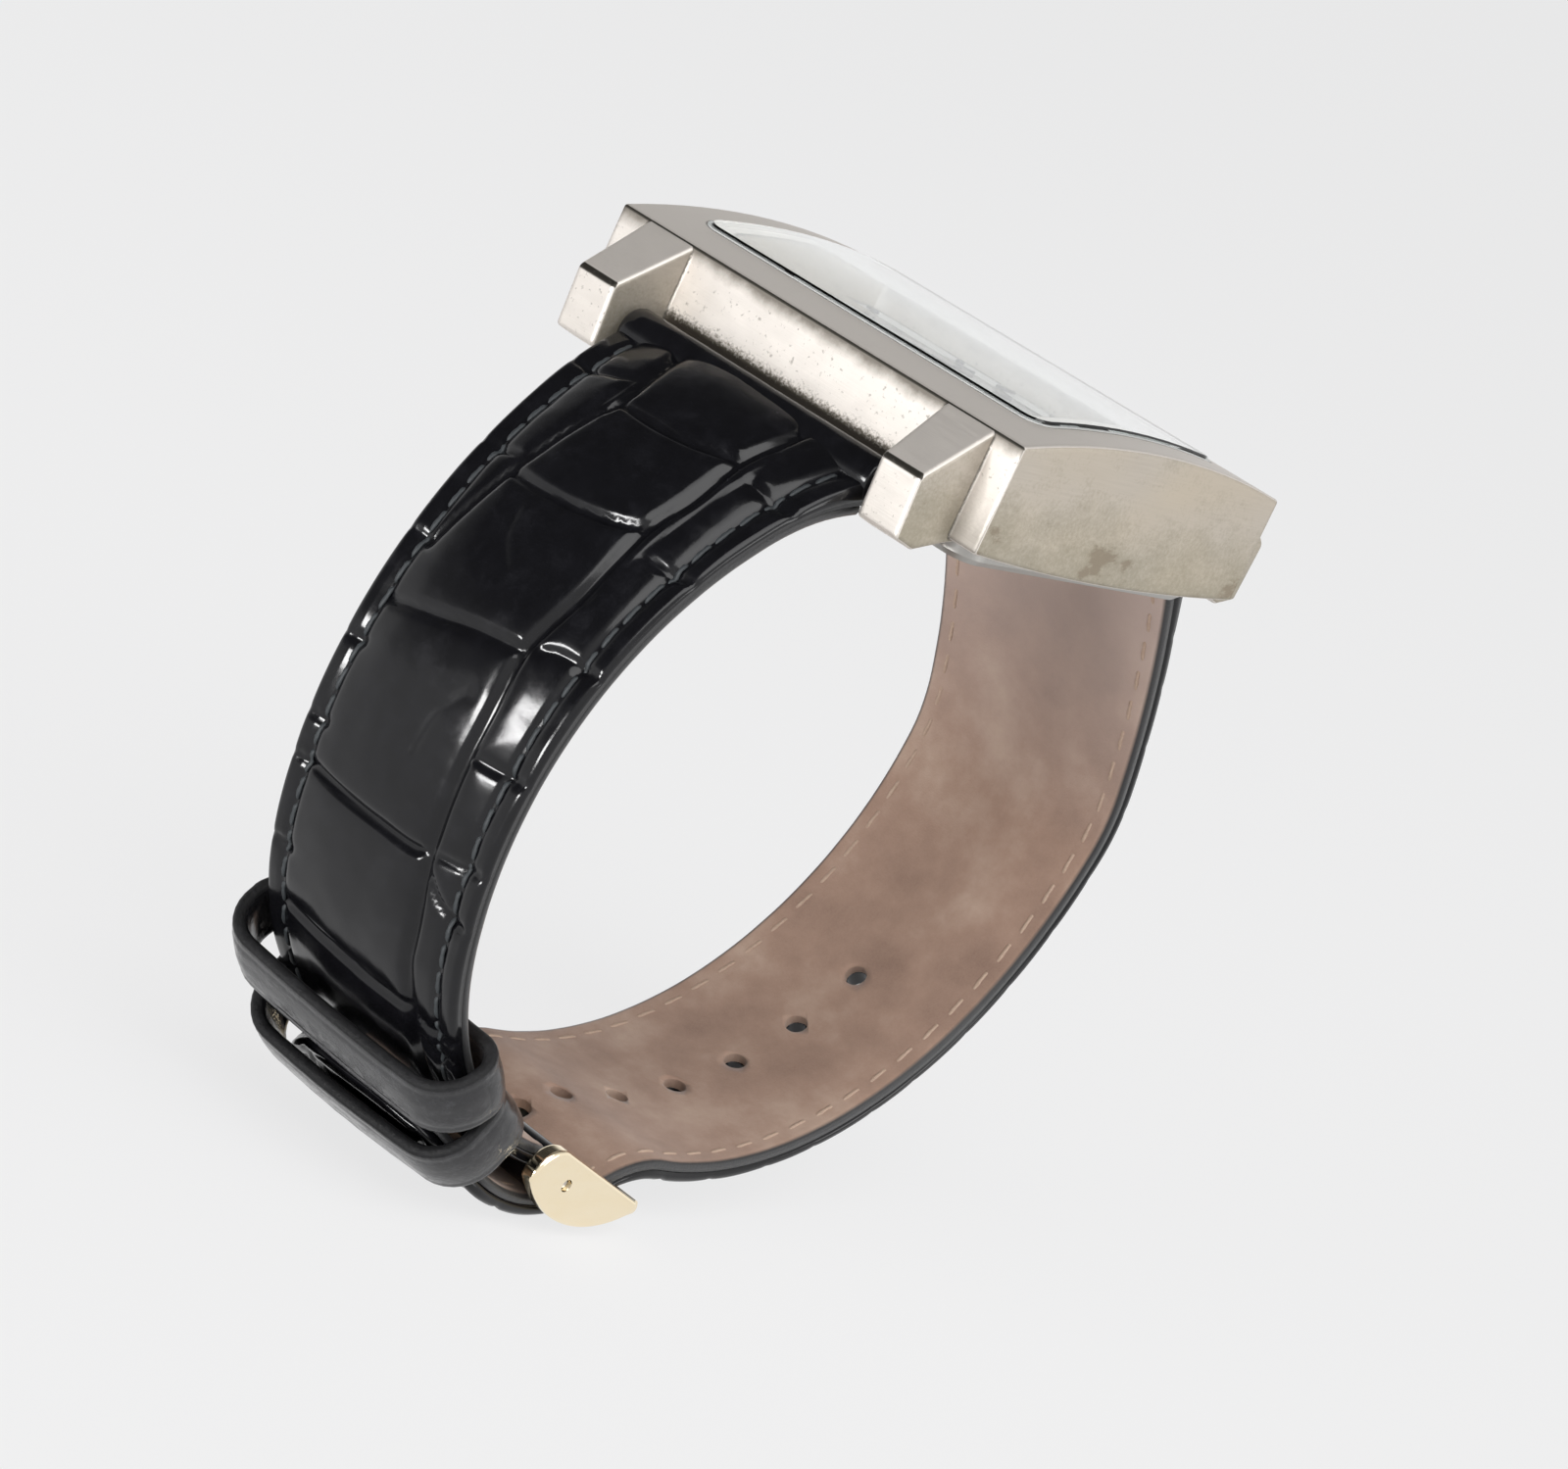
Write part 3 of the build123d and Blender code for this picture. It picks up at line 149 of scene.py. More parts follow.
def unsigned(tree, a):
    return maths(tree, "ABSOLUTE", a)


def varied(tree, middle, value, share):
    """A size plus a share of a value between 0 and 1."""
    return plus(tree, middle, times(tree, value, share))


def mixed(tree, share, a, b):
    return node(tree, "ShaderNodeMix", {0: share, 6: a, 7: b}, data_type="RGBA").outputs[2]


def colour(*rgb):
    return (*rgb, 1)


def bumped(tree, shader, height, strength, distance, normal=None):
    """Bump from a height, its distance in millimetres."""
    inputs = {"Height": height, "Strength": strength, "Distance": distance * MM}
    if normal is not None:
        inputs["Normal"] = normal
    made = node(tree, "ShaderNodeBump", inputs)
    tree.links.new(made.outputs[0], shader.inputs["Normal"])


def parts_of(tree, vector):
    return node(tree, "ShaderNodeSeparateXYZ", {0: vector}).outputs


def rim_value(tree):
    """1 on a piece's cut edge, from the attribute that its mesh carries."""
    return node(tree, "ShaderNodeAttribute", {}, attribute_name="rim").outputs["Fac"]


# Where patina, dirt and painted shade on the case are clear and where they are full, in millimetres: heights
# over the frame's zero, then distances from its middle
PATINA_HEIGHT = (7.5, 1.5)
TOP_SHADE_HEIGHT = (7.4, 8.3)
TOP_EDGE_HEIGHT = (8.8, 8.65)
SILT_HEIGHT = (4.6, 4.0)
LOW_GRIME_HEIGHT = (5.2, 2.2)
END_WALL = (15.0, 14.7)
BESIDE_STRAP = (11.8, 11.2)
OUTSIDE_LUGS = (15.5, 15.8)
FRAYED_BY = 1.2
RAGGED_BY = 1.6
BEVEL_RADIUS = 0.32


def end_grime_and_shade(tree, at, fine, blotch, crumb):
    """Grime and painted shade on the ends: specks, a painted dark line of shade under the top edge, and dirt
    just above the strap.
    """
    speck = step(tree, fine, 0.61, 0.69)
    frayed = plus(tree, at[2], times(tree, maths(tree, "SUBTRACT", blotch, 0.5), FRAYED_BY * MM))
    # Painted shade: a dark band under the top edge of the ends, made ragged by noise
    top_shade = times(tree, length_band(tree, frayed, TOP_SHADE_HEIGHT), length_band(tree, at[2], TOP_EDGE_HEIGHT))
    ragged = plus(tree, at[2], times(tree, maths(tree, "SUBTRACT", crumb, 0.5), RAGGED_BY * MM))
    wall = length_band(tree, unsigned(tree, at[1]), END_WALL)
    silt = times(tree, length_band(tree, ragged, SILT_HEIGHT), wall)
    silt = times(tree, silt, length_band(tree, unsigned(tree, at[0]), BESIDE_STRAP))
    outer = times(tree, length_band(tree, unsigned(tree, at[0]), OUTSIDE_LUGS), wall)
    outer = times(tree, outer, length_band(tree, ragged, LOW_GRIME_HEIGHT))
    grime_and_shade = higher(tree, times(tree, speck, 0.55), times(tree, top_shade, 0.82))
    grime_and_shade = higher(tree, grime_and_shade, times(tree, silt, 0.93))
    return higher(tree, grime_and_shade, times(tree, outer, 0.55))


def shaded_edges(tree, facing, soft, fine, crumb):
    """Painted shade along the edges and in the corners, broken up by noise, and a painted dark line of shade
    round the lugs' crests.
    """
    plain = tree.nodes.new("ShaderNodeNewGeometry").outputs["Normal"]
    kept = node(tree, "ShaderNodeVectorMath", {0: soft, 1: plain}, operation="DOT_PRODUCT").outputs["Value"]
    # Painted shade where the bevelled normal parts from the true one: along the edges and in the corners
    edge = times(tree, band(tree, kept, 0.995, 0.92), band(tree, crumb, 0.28, 0.46))
    # Painted shade on the lugs' crests, picked out by which way the surface faces
    crest = times(tree, band(tree, facing[2], 0.03, 0.22), band(tree, facing[2], 0.785, 0.73))
    crest = times(tree, crest, band(tree, unsigned(tree, facing[1]), 0.60, 0.68))
    crest = times(tree, crest, varied(tree, 0.80, fine, 0.5))
    return higher(tree, times(tree, edge, 0.85), crest)


def case_material():
    """Brushed tops and flanks, polished ends, painted shade on the edges and under the ends' top edge, patina
    on the flanks, dirt by the strap.
    """
    material, tree, shader = new_material("case_metal")
    where = tree.nodes.new("ShaderNodeTexCoord")
    facing = parts_of(tree, where.outputs["Normal"])
    at = parts_of(tree, where.outputs["Object"])
    flank = maths(tree, "GREATER_THAN", unsigned(tree, facing[0]), 0.8)
    elsewhere = maths(tree, "SUBTRACT", 1.0, flank)
    front = band(tree, unsigned(tree, facing[1]), 0.72, 0.80)
    along_x = grain_value(tree, (300, 9000, 9000), 3.0)
    along_y = grain_value(tree, (9000, 220, 6000), 3.0)
    grain = plus(tree, times(tree, along_y, flank), times(tree, along_x, elsewhere))
    blotch = noise_value(tree, object_point(tree, (1, 0.5, 1)), 420.0, 6.0, 0.68)
    broad = noise_value(tree, object_point(tree, (1, 0.6, 1)), 120.0, 2.0, 0.5)
    fine = noise_value(tree, object_point(tree), 2600.0, 4.0, 0.6)
    crumb = noise_value(tree, object_point(tree), 4200.0, 2.0, 0.7)
    # Patina on the flanks, mostly low down, and thin elsewhere
    low = length_band(tree, at[2], PATINA_HEIGHT)
    spread = plus(tree, times(tree, blotch, 0.48), times(tree, crumb, 0.32))
    patch = step(tree, plus(tree, spread, times(tree, low, 0.22)), 0.42, 0.64)
    patina = times(tree, patch, plus(tree, times(tree, flank, 0.50), 0.08))
    stain = step(tree, plus(tree, times(tree, blotch, 0.75), times(tree, low, 0.16)), 0.575, 0.615)
    stain = times(tree, stain, times(tree, flank, 0.55))
    warm = step(tree, broad, 0.40, 0.66)
    base = mixed(tree, grain, colour(0.40, 0.36, 0.31), colour(0.52, 0.475, 0.415))
    base = mixed(tree, times(tree, elsewhere, 0.85), base, colour(0.77, 0.725, 0.68))
    base = mixed(tree, times(tree, times(tree, warm, flank), 0.5), base, colour(0.50, 0.43, 0.33))
    base = mixed(tree, patina, base, colour(0.285, 0.265, 0.20))
    base = mixed(tree, stain, base, colour(0.22, 0.17, 0.12))
    # Specks and dirt on the ends, and the painted shade under their top edge
    grime_and_shade = times(tree, end_grime_and_shade(tree, at, fine, blotch, crumb), front)
    base = mixed(tree, grime_and_shade, base, colour(0.085, 0.072, 0.052))
    soft = node(tree, "ShaderNodeBevel", {"Radius": BEVEL_RADIUS * MM}, samples=6).outputs[0]
    # Painted shade along the edges and on the lugs' crests
    base = mixed(tree, shaded_edges(tree, facing, soft, fine, crumb), base, colour(0.055, 0.05, 0.042))
    tree.links.new(base, shader.inputs["Base Color"])
    shader.inputs["Metallic"].default_value = 0.8
    scratch = grain_value(tree, (500, 5200, 900), 5.0, 0.7)
    brushed, polished = varied(tree, 0.46, grain, 0.20), varied(tree, 0.27, scratch, 0.22)
    rough = node(tree, "ShaderNodeMix", {0: front, 2: brushed, 3: polished}, data_type="FLOAT").outputs[0]
    rough = varied(tree, rough, higher(tree, patina, grime_and_shade), 0.25)
    tree.links.new(rough, shader.inputs["Roughness"])
    height = plus(tree, times(tree, grain, 0.8), times(tree, blotch, 0.5))
    bumped(tree, shader, height, 0.35, 0.03, soft)
    return material


def plain_metal(name, low, high, rough, stretch=(1200, 1200, 1200), bump=0.15):
    material, tree, shader = new_material(name)
    grain = grain_value(tree, stretch)
    tree.links.new(mixed(tree, grain, colour(*low), colour(*high)), shader.inputs["Base Color"])
    shader.inputs["Metallic"].default_value = 1.0
    tree.links.new(varied(tree, rough, grain, rough * 0.8), shader.inputs["Roughness"])
    bumped(tree, shader, grain, bump, 0.02)
    return material


def plain_solid(name, low, high, rough, scale=900.0, bump=0.1):
    material, tree, shader = new_material(name)
    grain = noise_value(tree, object_point(tree), scale, 4.0, 0.6)
    tree.links.new(mixed(tree, grain, colour(*low), colour(*high)), shader.inputs["Base Color"])
    tree.links.new(varied(tree, rough, grain, 0.12), shader.inputs["Roughness"])
    bumped(tree, shader, grain, bump, 0.03)
    return material


def strap_material():
    """Polished black leather: fine pores, soft waves and patches of wear."""
    material, tree, shader = new_material("strap_black")
    pores = noise_value(tree, object_point(tree), 5200.0, 3.0, 0.6)
    waves = noise_value(tree, object_point(tree), 700.0, 4.0, 0.55)
    wear = step(tree, noise_value(tree, object_point(tree), 420.0, 6.0, 0.7), 0.52, 0.72)
    base = mixed(tree, waves, colour(0.0025, 0.0025, 0.003), colour(0.006, 0.006, 0.0075))
    base = mixed(tree, times(tree, wear, 0.35), base, colour(0.012, 0.012, 0.015))
    tree.links.new(base, shader.inputs["Base Color"])
    rough = varied(tree, varied(tree, 0.10, waves, 0.10), wear, 0.12)
    tree.links.new(rough, shader.inputs["Roughness"])
    shader.inputs["Specular IOR Level"].default_value = 0.36
    height = plus(tree, times(tree, pores, 0.07), times(tree, waves, 0.5))
    bumped(tree, shader, height, 0.35, 0.06)
    return material


# Heights between which the lining pales towards the case
LINING_PALES = (-22.0, -3.0)


def lining_material():
    """Tan lining with a nap, handled dark in patches, paler near the case and black on its cut edge."""
    material, tree, shader = new_material("lining_tan")
    blotch = noise_value(tree, object_point(tree), 190.0, 5.0, 0.62)
    cloud = noise_value(tree, object_point(tree), 75.0, 3.0, 0.5)
    nap = noise_value(tree, object_point(tree), 6500.0, 3.0, 0.65)
    base = ramp(
        tree, plus(tree, times(tree, blotch, 0.6), times(tree, cloud, 0.4)),
        [(0.32, (0.205, 0.120, 0.085)), (0.50, (0.335, 0.212, 0.155)), (0.70, (0.50, 0.37, 0.29))],
    )
    high = length_band(tree, parts_of(tree, object_point(tree))[2], LINING_PALES)
    base = mixed(tree, times(tree, high, 0.75), base, colour(0.52, 0.42, 0.385))
    base = mixed(tree, times(tree, nap, 0.30), base, colour(0.48, 0.37, 0.30))
    rim = rim_value(tree)
    base = mixed(tree, rim, base, colour(0.010, 0.010, 0.011))
    tree.links.new(base, shader.inputs["Base Color"])
    rough = maths(tree, "SUBTRACT", 0.86, times(tree, rim, 0.45))
    tree.links.new(rough, shader.inputs["Roughness"])
    shader.inputs["Sheen Weight"].default_value = 0.2
    bumped(tree, shader, plus(tree, nap, times(tree, blotch, 2.0)), 0.5, 0.06)
    return material


def keeper_material():
    """Black leather of the keepers, dull and rugged on its cut edges."""
    material, tree, shader = new_material("keeper_black")
    pores = noise_value(tree, object_point(tree), 3800.0, 4.0, 0.65)
    wear = step(tree, noise_value(tree, object_point(tree), 900.0, 6.0, 0.7), 0.50, 0.70)
    base = mixed(tree, pores, colour(0.006, 0.006, 0.007), colour(0.018, 0.018, 0.020))
    base = mixed(tree, times(tree, wear, 0.5), base, colour(0.040, 0.040, 0.045))
    rim = rim_value(tree)
    base = mixed(tree, times(tree, rim, 0.6), base, colour(0.012, 0.012, 0.012))
    tree.links.new(base, shader.inputs["Base Color"])
    rough = varied(tree, varied(tree, 0.13, wear, 0.14), rim, 0.30)
    tree.links.new(rough, shader.inputs["Roughness"])
    shine = maths(tree, "SUBTRACT", 0.5, times(tree, rim, 0.36))
    tree.links.new(shine, shader.inputs["Specular IOR Level"])
    rugged = times(tree, pores, varied(tree, 0.4, rim, 2.4))
    bumped(tree, shader, varied(tree, rugged, wear, 0.6), 0.45, 0.07)
    return material


def glass_material():
    material, tree, shader = new_material("crystal_glass")
    smear = step(tree, grain_value(tree, (200, 900, 900)), 0.45, 0.75)
    shader.inputs["Base Color"].default_value = (0.97, 0.99, 0.985, 1)
    shader.inputs["Transmission Weight"].default_value = 1.0
    shader.inputs["IOR"].default_value = 1.52
    tree.links.new(times(tree, smear, 0.05), shader.inputs["Roughness"])
    # Light passes straight through to the dial instead of being bent into a caustic
    clear = node(tree, "ShaderNodeBsdfTransparent", {"Color": colour(0.93, 0.95, 0.94)}).outputs[0]
    shadow = tree.nodes.new("ShaderNodeLightPath").outputs["Is Shadow Ray"]
    blend = node(tree, "ShaderNodeMixShader", {0: shadow, 1: shader.outputs[0], 2: clear})
    tree.links.new(blend.outputs[0], tree.nodes["Material Output"].inputs[0])
    return material


def dial_material():
    material, tree, shader = new_material("dial_silver")
    grain = grain_value(tree, (2500, 2500, 2500), 3.0)
    cloud = noise_value(tree, object_point(tree), 120.0, 3.0, 0.5)
    base = mixed(tree, grain, colour(0.46, 0.46, 0.46), colour(0.60, 0.60, 0.595))
    base = mixed(tree, times(tree, cloud, 0.3), base, colour(0.50, 0.49, 0.46))
    tree.links.new(base, shader.inputs["Base Color"])
    shader.inputs["Metallic"].default_value = 0.35
    tree.links.new(varied(tree, 0.36, grain, 0.12), shader.inputs["Roughness"])
    bumped(tree, shader, grain, 0.12, 0.02)
    return material


steel_case = case_material()
black_leather = strap_material()
tan_lining = lining_material()
keeper_leather = keeper_material()
gold = plain_metal("buckle_gold", (0.93, 0.79, 0.54), (0.97, 0.86, 0.66), 0.07, (260, 260, 900), 0.05)
back_steel = plain_metal("back_steel", (0.34, 0.33, 0.31), (0.46, 0.45, 0.43), 0.30, (300, 6000, 6000))
bar_steel = plain_metal("bar_steel", (0.48, 0.47, 0.46), (0.62, 0.61, 0.60), 0.25, (700, 3000, 3000))
crown_steel = plain_metal("crown_steel", (0.50, 0.48, 0.45), (0.66, 0.64, 0.60), 0.18, (900, 3000, 3000))
brass = plain_metal("movement_brass", (0.60, 0.46, 0.20), (0.74, 0.58, 0.28), 0.28)
dark_steel = plain_metal("hand_steel", (0.030, 0.032, 0.040), (0.06, 0.062, 0.075), 0.22)
marker_steel = plain_metal("marker_steel", (0.10, 0.10, 0.11), (0.22, 0.22, 0.24), 0.18)
copper = plain_metal("coil_copper", (0.45, 0.17, 0.07), (0.66, 0.28, 0.12), 0.30, (9000, 500, 500), 0.4)
board = plain_solid("board_green", (0.012, 0.075, 0.028), (0.02, 0.12, 0.045), 0.35)
rubber = plain_solid("gasket_grey", (0.42, 0.43, 0.425), (0.52, 0.53, 0.525), 0.50)
plastic = plain_solid("holder_white", (0.66, 0.66, 0.63), (0.76, 0.76, 0.73), 0.42)
dark_thread = plain_solid("thread_dark", (0.010, 0.012, 0.014), (0.040, 0.046, 0.050), 0.55, 5200.0, 0.6)
pale_thread = plain_solid("thread_pale", (0.34, 0.23, 0.17), (0.55, 0.42, 0.33), 0.75, 5200.0, 0.6)
ink = plain_solid("dial_ink", (0.012, 0.012, 0.014), (0.022, 0.022, 0.024), 0.45)
glass = glass_material()
silver_dial = dial_material()

finishes = {
    "mid_case": steel_case, "case_back": back_steel, "case_back_gasket": rubber, "crystal": glass,
    "crystal_gasket": rubber, "dial": silver_dial, "hour_markers": marker_steel, "hour_hand": dark_steel,
    "minute_hand": dark_steel, "movement_holder": plastic, "movement_plate": brass,
    "train_bridge": back_steel, "battery": back_steel, "coil": copper, "circuit_board": board,
    "minute_wheel": brass, "hour_wheel": brass, "crown": crown_steel, "crown_gasket": rubber,
    "buckle_frame": gold, "buckle_tang": gold,
}
# What isn't named there is plain steel: screws, bars, pinions, the battery's clamp, the stem and its tube
for name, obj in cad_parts.items():
    obj.data.materials.clear()
    obj.data.materials.append(finishes.get(name, bar_steel))

# Strap seam lines in the YZ plane, as the solids have them: bends as radius and turn in degrees
SHORT_RUNS = [(14.0, -29.0), (29.0, -66.0), (20.0, -66.0)]
LONG_RUNS = [(8.0, 20.0), (48.0, 22.0), (11.5, 24.0), (29.0, 88.5), (7.8, -34.5), (13.9, 68.5)]
SEAM_START_Y, SEAM_START_Z = 17.2, 1.1
SHORT_HEADING, SHORT_STRAIGHT = -13.0, 0.01
LONG_HEADING, LONG_STRAIGHT = 211.0, 1.9
LUG_BAR_Y, LUG_BAR_Z = 16.9, 2.4
BUCKLE_BAR_Y, BUCKLE_BAR_Z = 14.6, -47.25


class Seam:
    """A strap's seam line: a point, its outward normal and its heading at any distance along it."""

    def __init__(self, y, z, heading, runs, straight, side):
        self.side = side
        self.runs = []
        at = 0.0
        for radius, turn in runs:
            self.runs.append((at, y, z, heading, radius, turn))
            y, z, heading = self.step(y, z, heading, radius, turn)
            at += radius * radians(abs(turn))
        self.runs.append((at, y, z, heading, None, straight))
        self.length = at + straight

    @staticmethod
    def step(y, z, heading, radius, turn):
        side = 1 if turn > 0 else -1
        first, last = radians(heading - side * 90), radians(heading + turn - side * 90)
        return y + radius * (cos(last) - cos(first)), z + radius * (sin(last) - sin(first)), heading + turn

    def at(self, distance):
        start, y, z, heading, radius, turn = [run for run in self.runs if run[0] <= max(distance, 0)][-1]
        into = distance - start
        if radius is not None and 0 <= into <= radius * radians(abs(turn)):
            y, z, heading = self.step(y, z, heading, radius, degrees(into / radius) * (1 if turn > 0 else -1))
        else:
            y, z = y + into * cos(radians(heading)), z + into * sin(radians(heading))
        out = radians(heading + self.side * 90)
        return y, z, cos(out), sin(out), heading


short_seam = Seam(SEAM_START_Y, SEAM_START_Z, SHORT_HEADING, SHORT_RUNS, SHORT_STRAIGHT, 1)
long_seam = Seam(-SEAM_START_Y, SEAM_START_Z, LONG_HEADING, LONG_RUNS, LONG_STRAIGHT, -1)

# Sizes that fall off along the strap: at its far end, extra at the lugs, length and power of the fall
HALF_WIDTH = (8.9, 2.4, 40, 2.4)
CROWN_HEIGHT = (1.12, 1.48, 55, 1.3)
MARGIN_HEIGHT = (0.84, 0.75, 9, 2)
STITCH_INSET = (1.55, 0.35, 12, 1)
# The long half's rounded end: its length, how far each side draws in, and the power of its curve
POINT_LENGTH, POINT_DRAW, POINT_POWER = 6.5, 7.3, 2.2


def falling(s, far, extra, length, power):
    return far + extra * max(0, 1 - s / length) ** power


def strap_half(s, seam):
    half = falling(s, *HALF_WIDTH)
    if seam is long_seam:
        into = max(0.0, 1 - (seam.length - s) / POINT_LENGTH)
        half -= POINT_DRAW * (1 - max(0.0, 1 - into**POINT_POWER) ** (1 / POINT_POWER))
    return half


def stitch_inset(s):
    return falling(s, *STITCH_INSET)


# Grooves of the short half's embossed scales: (depth, half width, points as distance and X)
SHORT_GROOVES = [
    (0.42, 0.34, [(-1, 6.6), (1.5, 5.5), (4, 4.6), (6.4, 4.0), (8, 4.5), (10, 5.0), (13.8, 5.8), (16.5, 6.4),
                  (20, 7.2)]),
    (0.20, 0.40, [(2.5, 5.2), (6.5, 5.0), (10, 5.2), (13.5, 6.0)]),
    (0.40, 0.36, [(-1, -4.8), (2, -5.6), (5.4, -5.4), (9, -5.5), (12, -4.95), (15, -4.95), (18, -4.8),
                  (22.3, -4.0), (26, -4.3), (30, -4.35), (35.4, -4.5), (40, -4.9), (43, -4.75), (47, -5.2),
                  (51, -5.4), (60, -5.3)]),
    (0.16, 0.25, [(1.5, -5.4), (3.5, -6.3), (5.6, -6.9), (8, -6.6), (11, -6.3), (14, -5.9), (18, -5.3)]),
    (0.42, 0.30, [(6.4, 4.0), (6.55, 1), (6.3, -2), (5.6, -4.4), (5.3, -5.4)]),
    (0.42, 0.30, [(13.8, 5.8), (13.95, 3), (13.7, 0), (13.1, -3), (12.2, -4.95)]),
    (0.36, 0.30, [(24.1, 7.1), (23.4, 3), (22.8, 0), (22.4, -3), (22.3, -4.1)]),
    (0.40, 0.28, [(35.3, 7.0), (35.5, 3), (35.55, 0), (35.6, -3), (35.3, -4.5)]),
    (0.32, 0.30, [(45.0, 6.9), (45.3, 2), (45.7, -1), (45.9, -4.9)]),
    (0.34, 0.30, [(54.5, 7.0), (54.9, 2), (54.7, -5.3)]),
    (0.26, 0.26, [(6.0, -6.9), (5.9, -8.2), (5.6, -11)]),
    (0.26, 0.26, [(13.7, -6.0), (13.5, -8), (13.1, -10.4)]),
    (0.26, 0.26, [(21.7, -4.9), (21.2, -6.4), (21.1, -9.8)]),
    (0.24, 0.26, [(28.9, -4.4), (28.8, -7), (28.6, -9.5)]),
    (0.26, 0.26, [(35.3, -4.5), (35.0, -7), (34.8, -9.4)]),
    (0.24, 0.30, [(36.2, -4.7), (37.6, -6.0), (38.4, -7.6), (38.8, -9.4)]),
    (0.24, 0.30, [(45.4, -5.0), (46.5, -6.6), (46.6, -9.3)]),
    (0.24, 0.30, [(46.6, -5.2), (48.3, -6.6), (48.4, -9.3)]),
    (0.26, 0.26, [(4.7, 11), (4.8, 8), (4.4, 4.7)]),
    (0.26, 0.26, [(12.9, 10.6), (12.8, 8), (12.7, 5.6)]),
    (0.20, 0.26, [(19.9, 9.9), (20.0, 7.3)]),
    (0.20, 0.26, [(32.5, 9.4), (32.6, 7.0)]),
    (0.24, 0.26, [(35.5, 9.4), (35.4, 7.0)]),
    (0.20, 0.26, [(27.3, 9.4), (27.2, 7.1)]),
    (0.22, 0.26, [(41.0, 9.4), (41.2, 7.0)]),
    # Fine creases across the scales
    (0.06, 0.20, [(7.5, 3.2), (8.6, 1.4), (10.0, -0.6), (10.6, -1.8)]),
    (0.05, 0.20, [(8.1, 3.6), (9.2, 1.9), (10.6, 0.1)]),
    (0.05, 0.22, [(15.5, 3.0), (17.5, 2.2), (19.0, 0.6)]),
    (0.05, 0.22, [(26.0, -2.4), (28.0, -1.0), (30.5, -0.6)]),
]
# The long half's large scales lie between two wavy lines; these are the lines' and the rows' sizes
LEFT_LINE, RIGHT_LINE, LINE_PITCH, ROWS_END = 5.3, -5.2, 5.0, 92
FIRST_ROW, ROW_PITCH, LEAST_PITCH, PITCH_LOSS = 6.6, 7.8, 6.2, 0.12
FIRST_SIDE_ROW, SIDE_PITCH = 4.4, 4.9


def long_grooves():
    """Grooves of the long half: one column of large scales between two of small ones."""
    left, right, rows = [], [], []
    jitter = rng.uniform(-0.5, 0.5, 80)
    for index in range(21):
        s = -1.0 + LINE_PITCH * index
        left.append((s, LEFT_LINE + jitter[index]))
        right.append((s, RIGHT_LINE + jitter[index + 20]))
    s, pitch = FIRST_ROW, ROW_PITCH
    while s < ROWS_END:
        tilt, sag = jitter[int(s) % 40], 0.35 + 0.2 * jitter[int(s) % 30]
        points = [(s + tilt, LEFT_LINE), (s + sag + tilt / 2, 2), (s + sag, -1.5), (s - tilt, RIGHT_LINE)]
        rows.append((0.38, 0.30, points))
        s += pitch + 1.2 * jitter[int(s) % 50]
        pitch = max(LEAST_PITCH, pitch - PITCH_LOSS)
    for side in (-1, 1):
        s = FIRST_SIDE_ROW + side
        while s < ROWS_END:
            tilt = jitter[int(3 * s) % 60]
            points = [(s, side * LEFT_LINE), (s + tilt, side * 8), (s + tilt * 0.7, side * 11.5)]
            rows.append((0.17, 0.26, points))
            s += SIDE_PITCH + 1.4 * jitter[int(2 * s) % 70]
    return [(0.40, 0.34, left), (0.40, 0.34, right), *rows]


def smooth_line(points):
    """Catmull-Rom curve through the points."""
    pieces = 8
    p = np.array([points[0], *points, points[-1]], float)
    made = []
    for i in range(1, len(p) - 2):
        slope = p[i + 1] - p[i - 1]
        square = 2 * p[i - 1] - 5 * p[i] + 4 * p[i + 1] - p[i + 2]
        cube = 3 * p[i] - p[i - 1] - 3 * p[i + 1] + p[i + 2]
        for t in np.linspace(0, 1, pieces, endpoint=False):
            made.append(0.5 * (2 * p[i] + slope * t + square * t**2 + cube * t**3))
    made.append(p[-2])
    return np.array(made)


# A distance that counts as far from any groove
FAR = 9.0
# Each scale falls off towards the grooves round it, less towards shallow ones
DEEPEST, SWELL_DEPTH, SWELL_REACH = 0.42, 0.22, 0.9


def groove_relief(s, x, grooves):
    """Height of the embossing at points (s, x): grooves cut in, and scales swell between them."""
    cut = np.zeros_like(s)
    near = np.full_like(s, FAR)
    for depth, half, points in grooves:
        line = smooth_line(points)
        best = np.full_like(s, FAR)
        for a, b in zip(line[:-1], line[1:]):
            d = b - a
            t = np.clip(((s - a[0]) * d[0] + (x - a[1]) * d[1]) / max(d @ d, 1e-9), 0, 1)
            best = np.minimum(best, np.hypot(s - a[0] - t * d[0], x - a[1] - t * d[1]))
        cut = np.maximum(cut, depth * np.exp(-((best / half) ** 2)))
        near = np.minimum(near, best + (DEEPEST - depth) * 1.5)
    return -cut - SWELL_DEPTH * np.exp(-near / SWELL_REACH)


def ripple(s, x, seed):
    """Slight unevenness of the leather: broad, then finer."""
    made = np.zeros_like(s)
    for i in range(s.shape[0]):
        for j in range(s.shape[1]):
            made[i, j] = noise.noise((s[i, j] * 0.16, x[i, j] * 0.22, seed)) * 0.10
            made[i, j] += noise.noise((s[i, j] * 0.7, x[i, j] * 0.55, seed + 4)) * 0.025
    return made


